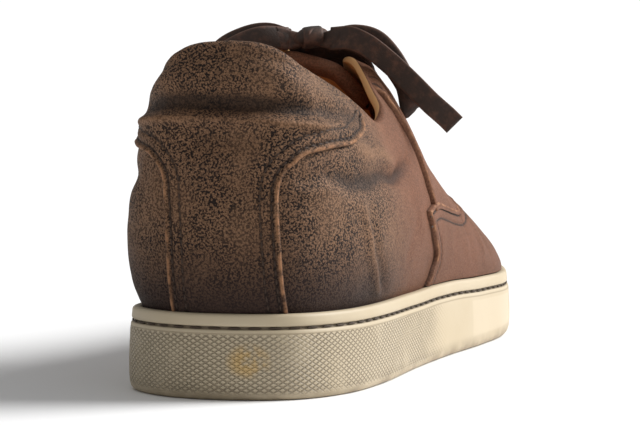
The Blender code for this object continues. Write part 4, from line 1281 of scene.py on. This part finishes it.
class SNEAKER_OT_sole(bpy.types.Operator):
    """Makes the moulded cup sole and the stitches in its groove"""

    bl_idname = "sneaker.sole"
    bl_label = "Sole"

    def execute(self, context):
        look = settings(context).sole
        rubber = once("cream_rubber", rubber_material, tuple(look.colour), tuple(look.grime))
        profile = np.array(SOLE_PROFILE)
        under, inside = 26, 6
        rows = under + len(profile) - 1 + inside
        side_lengths = [along[-1] for _, along in SIDES]

        def surface(u, v):
            turn, row = u * 2 - 1, v * rows
            edge, normal = outline_point(turn), outline_normal(turn)
            step = np.clip(row - under, 0, len(profile) - 1)
            inset, share, drop = (np.interp(step, np.arange(len(profile)), column) for column in profile.T)
            spot = edge - normal * inset[:, None]
            inwards = np.clip(1 - row / under, 0, 1) + np.clip((row - (rows - inside)) / inside, 0, 1)
            spot = spot + (medial_line(edge) - spot) * inwards[:, None]
            x, y = spot[:, 0], spot[:, 1]
            floor, rim = bottom_height(x, y), rim_height(y)
            start = (TREAD_START - 0.5) * LENGTH - TREAD_PITCH / 2
            phase = np.abs(np.mod(y - start, TREAD_PITCH) - TREAD_PITCH / 2)
            cut = 1 - smooth_step(TREAD_GROOVE / 2 - TREAD_SLOPE, TREAD_GROOVE / 2 + TREAD_SLOPE, phase)
            cut *= smooth_step(TREAD_MARGIN - 0.001, TREAD_MARGIN, np.linalg.norm(edge - spot, axis=1))
            along = share_along(y)
            cut *= sum((along > low) & (along < high) for low, high in TREAD_SPANS)
            z = np.where(row < under, floor + TREAD_DEPTH * cut, floor + share * (rim - floor) - drop)
            z = np.where(row > rows - inside, cup_height(y), z)
            below = np.where(row < under, NOT_NEAR, (rim_height(edge[:, 1]) - z) * 1000)
            uv = np.stack((turn * np.where(turn >= 0, *side_lengths), z - floor), -1)
            return np.stack((x, y, z), -1), {"uv": uv, "drop": below}

        sole = mapped_grid("cup_sole", 720, rows, surface, rubber, (0, 0, 0.012))
        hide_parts("cupsole")

        thread = once("sole_thread", plain_material, (0.055, 0.036, 0.022), 0.8)
        bm = bmesh.new()
        total = sum(side_lengths)
        count = int(total / look.stitch_pitch)
        for index in range(count):
            turn = np.array([-1 + 2 * (index + 0.5) / count])
            ends = []
            for shift in (-0.5, 0.5):
                own = turn + shift * 2 * look.stitch_pitch * 0.72 / total
                spot = (outline_point(own) - outline_normal(own) * SOLE_STITCH_INSET)[0]
                ends.append(Vector((*spot, float(rim_height(spot[1])) - SOLE_STITCH_DROP)))
            add_stitch(bm, *ends, SOLE_STITCH_RADIUS)
        stitches = piece_from("sole_stitches", bm, thread)
        return {"FINISHED"}


class SNEAKER_OT_insole(bpy.types.Operator):
    """Makes the sock board on the cup's floor"""

    bl_idname = "sneaker.insole"
    bl_label = "Insole"

    def execute(self, context):
        lining = leather_looks(context)[2]
        inset = RIM_SETBACK + RIM_WIDTH + LEATHER + 3 * CLEARANCE
        side_rows, rows = 3, 24

        def surface(u, v):
            turn, row = u * 2 - 1, v * rows
            edge = outline_point(turn) - outline_normal(turn) * inset
            inwards = np.clip((row - side_rows) / (rows - side_rows), 0, 1)
            spot = edge + (medial_line(edge) - edge) * inwards[:, None]
            lift = CLEARANCE + INSOLE_THICKNESS * np.clip(row / side_rows, 0, 1)
            points = np.stack((spot[:, 0], spot[:, 1], cup_height(spot[:, 1]) + lift), -1)
            return points, {"lip": np.full_like(u, NOT_NEAR)}

        piece = mapped_grid("sock_board", 240, rows, surface, lining, (0, 0, -0.2))
        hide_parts("insole")
        return {"FINISHED"}


def lip(turn, share):
    """Points over the rounded top edge, from its outside (share 0) to its inside (share 1)."""
    one = np.ones_like(turn)
    outer, thick = skin(turn, one), wall(turn, one)
    inner = outer - skin_normal(turn, one) * thick[:, None]
    middle, half = (outer + inner) / 2, (outer - inner) / 2
    ahead = unit(bare_skin(turn, one) - bare_skin(turn, one * 0.98))
    opened = 1 - smooth_step(THROAT_END - 0.05, THROAT_END, np.abs(turn))
    angle = share * math.pi
    swell = ahead * (np.linalg.norm(half, axis=1) * np.sin(angle) * opened)[:, None]
    rounded = middle + half * np.cos(angle)[:, None] + swell
    closed = (np.abs(turn) > THROAT_END)[:, None]
    return np.where(closed, np.where((share > 0.5)[:, None], inner, outer), rounded)


class SNEAKER_OT_upper(bpy.types.Operator):
    """Makes the quarters' outer leather and the tan lining inside"""

    bl_idname = "sneaker.upper"
    bl_label = "Upper and lining"

    def execute(self, context):
        leather, _, lining = leather_looks(context)
        lip_rows, rows, inner_rows = 8, 96, 70

        def outside(u, v):
            turn, row = u * 2 - 1, v * rows
            body = rows - lip_rows
            rise = np.clip(row / body, 0, 1) * 1.25 - 0.25
            seam = np.where(np.abs(turn) > THROAT_END, 0.0, read(LINING_SEAM, np.abs(turn))[0])
            share = np.clip((row - body) / lip_rows, 0, 1) * seam
            points = np.where((row > body)[:, None], lip(turn, share), skin(turn, rise))
            return points, {"rise": rise, "crease": crease_height(turn, rise)}

        quarters = mapped_grid("quarters", 840, rows, outside, leather, (0, 0, 0.04))
        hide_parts("upper")

        def inside(u, v):
            turn, row = u * 2 - 1, v * inner_rows
            seam = read(LINING_SEAM, np.abs(turn))[0]
            share = seam + (1 - seam) * np.clip(row / lip_rows, 0, 1)
            share = np.where(np.abs(turn) > THROAT_END, 1.0, share)
            rise = 1 - np.clip((row - lip_rows) / (inner_rows - lip_rows), 0, 1) * 1.9
            depth, above = wall(turn, rise), np.maximum(rise, 0)
            below = bare_skin(turn, rise) - skin_normal(turn, above) * depth[:, None]
            inner = np.where((rise < 0)[:, None], below, skin(turn, above, -depth))
            points = np.where((row < lip_rows)[:, None], lip(turn, share), inner)
            return points, {"lip": np.clip(row - lip_rows * 0.55, 0, None) * 0.9}

        piece = mapped_grid("lining", 560, inner_rows, inside, lining, (0, 0, 0.04))
        piece.data.flip_normals()
        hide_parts("upper")
        return {"FINISHED"}


def border_distance(points, border):
    """Each point's distance to the nearest point of a border, in mm."""
    tree = kdtree.KDTree(len(border))
    for index, point in enumerate(border):
        tree.insert(point, index)
    tree.balance()
    return np.array([tree.find(point)[2] for point in points]) * 1000


def heel_edges(kind, count):
    """The heel panel's two edges, or their stitches' lines, each as turns and rises."""
    rises = np.linspace(*HEEL_SPANS[kind], count)
    outer, inner = read(HEEL_PANEL_EDGE, rises)
    return [(outer, rises), (-inner, rises)]


def vamp_edges(kind, count):
    """The vamp panel's rear and top edges on both sides, or their stitches' lines."""
    rises, reaches = (np.linspace(*spans[kind], count) for spans in (VAMP_REAR_SPANS, VAMP_TOP_SPANS))
    rear, tops = read(VAMP_REAR, rises)[0], read(VAMP_TOP, reaches)[0]
    return [(side * turns, line) for side in (1, -1) for turns, line in ((rear, rises), (reaches, tops))]


def facing_edge(side, kind, count):
    rises = np.linspace(*FACING_SPANS[kind], count)
    return side * read(FACING_REAR, rises)[0], rises


def panel(name, node, columns, rows, where, edges, hole_sides=()):
    """A panel over the upper. where gives each place's turn and rise, edges its own edge lines."""
    edge_line = bare_skin(*(np.concatenate(values) for values in zip(*edges)))
    holes = [hole_place(side, index)[0] for side in hole_sides for index in range(HOLE_PAIRS)]

    def surface(u, v):
        turn, rise = where(u, v)
        points = bare_skin(turn, rise)
        away = border_distance(points, edge_line)
        hole = np.full_like(away, NOT_NEAR)
        for spot in holes:
            hole = np.minimum(hole, np.linalg.norm(points - np.array(spot), axis=1) * 1000)
        height = np.interp(away, *np.array(PANEL_EDGE).T) / 1000
        height += HOLE_RIM * (1 - smooth_step(2.1, 3.2, hole)) - HOLE_SINK * (1 - smooth_step(1.7, 2.2, hole))
        tucked = smooth_step(0.90, 0.992, rise) * (np.abs(turn) < THROAT_END)
        height = height * (1 - tucked) - 0.0001 * tucked
        marks = {"rise": rise, "crease": crease_height(turn, rise), "edge": away, "hole": hole}
        return skin(turn, rise, height), marks

    look = leather_looks(bpy.context)[1]
    piece = mapped_grid(name, columns, rows, surface, look, (0, 0, 0.03))
    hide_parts(node)


def eased(shares, fine, steps):
    """Shares respaced so that the first and last few lie closer together."""
    places, goals = (
        np.array((0, size, 2 * size, 0.5, 1 - 2 * size, 1 - size, 1)) for size in (steps, fine)
    )
    return np.interp(shares, places, goals)


class SNEAKER_OT_panels(bpy.types.Operator):
    """Makes the heel panel, the vamp panel and the two lace facings"""

    bl_idname = "sneaker.panels"
    bl_label = "Panels"

    def execute(self, context):
        def heel(u, v):
            low, high = HEEL_SPANS[EDGE]
            rise = low + (high - low) * eased(v, 0.03, 0.08)
            outer, inner = read(HEEL_PANEL_EDGE, rise)
            return -inner + (outer + inner) * eased(u, 0.03, 0.10), rise

        panel("heel_counter", "heel_panel", 300, 230, heel, heel_edges(EDGE, 900))

        def vamp(u, v):
            reach = VAMP_START + 2 * (1 - VAMP_START) * eased(u, 0.012, 0.03)
            side = np.where(reach <= 1, 1.0, -1.0)
            own = np.where(reach <= 1, reach, 2 - reach)
            top = read(VAMP_TOP, own)[0]
            rise = PANEL_FOOT + (top - PANEL_FOOT) * eased(v, 0.03, 0.08)
            rear = read(VAMP_REAR, rise)[0]
            share = np.clip((own - VAMP_START) / 0.06, 0, 1)
            own = own + (rear - VAMP_START) * (1 - share)
            return side * own, np.minimum(rise, read(VAMP_TOP, own)[0])

        panel("vamp_overlay", "vamp_panel", 640, 130, vamp, vamp_edges(EDGE, 900))

        for side, name in ((1, "facing_outer"), (-1, "facing_inner")):
            def facing(u, v):
                reach = FACING_START + (FACING_REACH - FACING_START) * u
                for _ in range(3):
                    low = read(VAMP_TOP, reach)[0] - FACING_TUCK
                    rise = low + (FACING_SPANS[EDGE][1] - low) * v
                    rear = read(FACING_REAR, rise)[0]
                    reach = rear + (FACING_REACH - rear) * u
                return side * reach, rise

            panel(f"{name}_leather", name, 250, 130, facing, [facing_edge(side, EDGE, 900)], (side,))
        return {"FINISHED"}


def stitch_row(bm, turns, rises, inwards, offset, length):
    """Stitches along a border of the upper, moved inwards from it over the leather."""
    points = bare_skin(turns, rises)
    ahead = unit(np.gradient(points, axis=0))
    goal = np.cross(skin_normal(turns, rises), ahead) * inwards * offset
    by_turn = (bare_skin(turns + 0.003, rises) - points) / 0.003
    by_rise = (bare_skin(turns, np.clip(rises - 0.01, 0, 1)) - points) / -0.01
    a, b, c = ((x * y).sum(-1) for x, y in ((by_turn, by_turn), (by_turn, by_rise), (by_rise, by_rise)))
    p, q = (by_turn * goal).sum(-1), (by_rise * goal).sum(-1)
    size = a * c - b * b
    turns = turns + (p * c - q * b) / size
    rises = rises + (q * a - p * b) / size
    kept = (rises > 0.02) & (rises < 0.985)
    turns, rises = turns[kept], rises[kept]
    line = skin(turns, rises, PANEL_STITCH_LIFT)
    walked = walked_lengths(line)
    pitch = length * STITCH_GAP
    for index in range(int(walked[-1] / pitch)):
        places = (index * pitch, index * pitch + length)
        spots = np.stack([np.interp(places, walked, axis) for axis in line.T], -1)
        start, end = (Vector(spot) for spot in spots)
        if (end - start).length > length * 0.5:
            add_stitch(bm, start, end, PANEL_STITCH_RADIUS)


class SNEAKER_OT_stitches(bpy.types.Operator):
    """Makes the rows of stitches along the panels' edges"""

    bl_idname = "sneaker.stitches"
    bl_label = "Stitches"

    def execute(self, context):
        length = settings(context).leather.stitch
        thread = once("brown_thread", plain_material, (0.045, 0.024, 0.014), 0.75)
        lines = [(1, line) for line in heel_edges(STITCHES, 500)]
        lines += [(-1, line) for line in vamp_edges(STITCHES, 500)]
        lines += [(-1, facing_edge(side, STITCHES, 500)) for side in (1, -1)]
        bm = bmesh.new()
        for way, (turns, rises) in lines:
            for offset in STITCH_ROWS:
                stitch_row(bm, turns, rises, way * np.sign(turns[0]), offset, length)
        piece = piece_from("panel_stitches", bm, thread)
        return {"FINISHED"}


def tongue_station(reach, shares):
    """One row of the tongue's upper face, under the throat's edges, and the directions it faces."""
    ends = [skin_at(turn, 1.0) for turn in (-reach, reach)]
    up = (ends[1][1] + ends[0][1]).normalized()
    low, high = (point - normal * (LEATHER + 2 * CLEARANCE) for point, normal in ends)
    row, facing = [], []
    for share in shares:
        gap = abs(share) * TONGUE_WIDTH / 2 - THROAT_WIDTH / 2
        if gap >= 0:
            turn = math.copysign(reach, share)
            point, normal = skin_at(turn, rise_below_top(turn, gap))
            point = point - normal * (LEATHER + 3 * CLEARANCE)
        else:
            point, normal = low.lerp(high, 0.5 + share * TONGUE_WIDTH / 2 / THROAT_WIDTH), up
        row.append(point)
        facing.append(normal)
    return row, facing


class SNEAKER_OT_tongue(bpy.types.Operator):
    """Makes the padded tongue, brown above and tan below"""

    bl_idname = "sneaker.tongue"
    bl_label = "Tongue"

    def execute(self, context):
        leather, _, lining = leather_looks(context)
        shares = np.linspace(-1, 1, 33)
        found = [tongue_station(reach, shares) for reach in TONGUE_REACHES]
        rows, normals = (np.array(grid) for grid in zip(*found))
        normals = unit(normals)
        for _ in range(6):
            for grid in (rows, normals):
                grid[:, 1:-1] = (grid[:, :-2] + 2 * grid[:, 1:-1] + grid[:, 2:]) / 4
        normals = unit(normals)
        ahead = unit(rows[0] - rows[2])
        thick, strip = TONGUE_THICKNESS, TONGUE_STRIP
        run = (TONGUE_OVERRUN - thick / 2) * (1 - 0.40 * np.abs(shares) ** 2.5)[:, None]
        edge, out = rows[0] + ahead * run, normals[0]
        side_round = 1 - np.sqrt(np.maximum(1 - np.abs(shares) ** 10, 0))

        def sunk(grid, normal, depth):
            """Rows moved below the upper face, drawn together at the tongue's two side edges."""
            depth = depth + (thick / 2 - depth) * side_round
            return grid - normal * depth[:, None]

        upper_rows = [sunk(edge - ahead * strip * share, out, thick + 0.0002) for share in (1.0, 0.5)]
        under_rows = [sunk(edge - ahead * strip * 0.5, out, thick - 0.0002)]
        half = thick / 2 * (1 - 0.6 * side_round)[:, None]
        for step in range(TONGUE_BENDS + 1):
            angle = math.pi * (1 - step / TONGUE_BENDS)
            bend = (out * math.cos(angle) + ahead * math.sin(angle)) * half
            upper_rows.append(edge - out * thick / 2 + bend)
        stations = [edge - ahead * run * share for share in (0.35, 0.7)] + list(rows)
        facings = [out, out] + list(normals)
        for index in range(len(stations) - 1):
            for step in range(6):
                t = step / 6
                row, normal = (a[index] * (1 - t) + a[index + 1] * t for a in (stations, facings))
                normal = unit(normal)
                upper_rows.append(sunk(row, normal, 0.0))
                depth = thick - TONGUE_THINNING * min(max(index + t - 2, 0) / 3, 1)
                under_rows.append(sunk(row, normal, depth))

        def laid(name, grid, look):
            last, wide = len(grid) - 1, len(shares) - 1

            def surface(u, v):
                points = np.array(grid)[np.rint(v * last).astype(int), np.rint(u * wide).astype(int)]
                marks = {"rise": 0.6, "crease": 0.0, "lip": 4.0}
                return points, {key: np.full_like(u, value) for key, value in marks.items()}

            return mapped_grid(name, wide, last, surface, look, (0, 0, 0))

        top = laid("tongue_top", upper_rows, leather)
        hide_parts("tongue")
        under = laid("tongue_lining", under_rows, lining)
        under.data.flip_normals()
        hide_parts("tongue")
        return {"FINISHED"}


class SNEAKER_PT_panel(bpy.types.Panel):
    """Lists the sneaker's settings and pieces in the sidebar."""

    bl_idname = "SNEAKER_PT_panel"
    bl_label = "Worn sneaker"
    bl_space_type = "VIEW_3D"
    bl_region_type = "UI"
    bl_category = "Sneaker"

    def draw(self, context):
        layout = self.layout
        for part in ("sole", "leather", "lace", "stage"):
            box = layout.box()
            box.label(text=part.capitalize())
            look = getattr(settings(context), part)
            for key in look.__annotations__:
                box.prop(look, key)
        for operator in OPERATORS:
            layout.operator(operator.bl_idname)


GROUPS = (SoleSettings, LeatherSettings, LaceSettings, StageSettings, SneakerSettings)
OPERATORS = (
    SNEAKER_OT_stage, SNEAKER_OT_laces, SNEAKER_OT_sole, SNEAKER_OT_insole, SNEAKER_OT_upper,
    SNEAKER_OT_panels, SNEAKER_OT_stitches, SNEAKER_OT_tongue,
)


def register():
    for cls in (*GROUPS, *OPERATORS, SNEAKER_PT_panel):
        bpy.utils.register_class(cls)
    bpy.types.Scene.worn_sneaker = PointerProperty(type=SneakerSettings)


def unregister():
    del bpy.types.Scene.worn_sneaker
    for cls in reversed((*GROUPS, *OPERATORS, SNEAKER_PT_panel)):
        bpy.utils.unregister_class(cls)


def main():
    register()
    for operator in (
        bpy.ops.sneaker.stage, bpy.ops.sneaker.laces, bpy.ops.sneaker.sole, bpy.ops.sneaker.insole,
        bpy.ops.sneaker.upper, bpy.ops.sneaker.panels, bpy.ops.sneaker.stitches,
        bpy.ops.sneaker.tongue,
    ):
        operator()


if __name__ == "__main__":
    main()
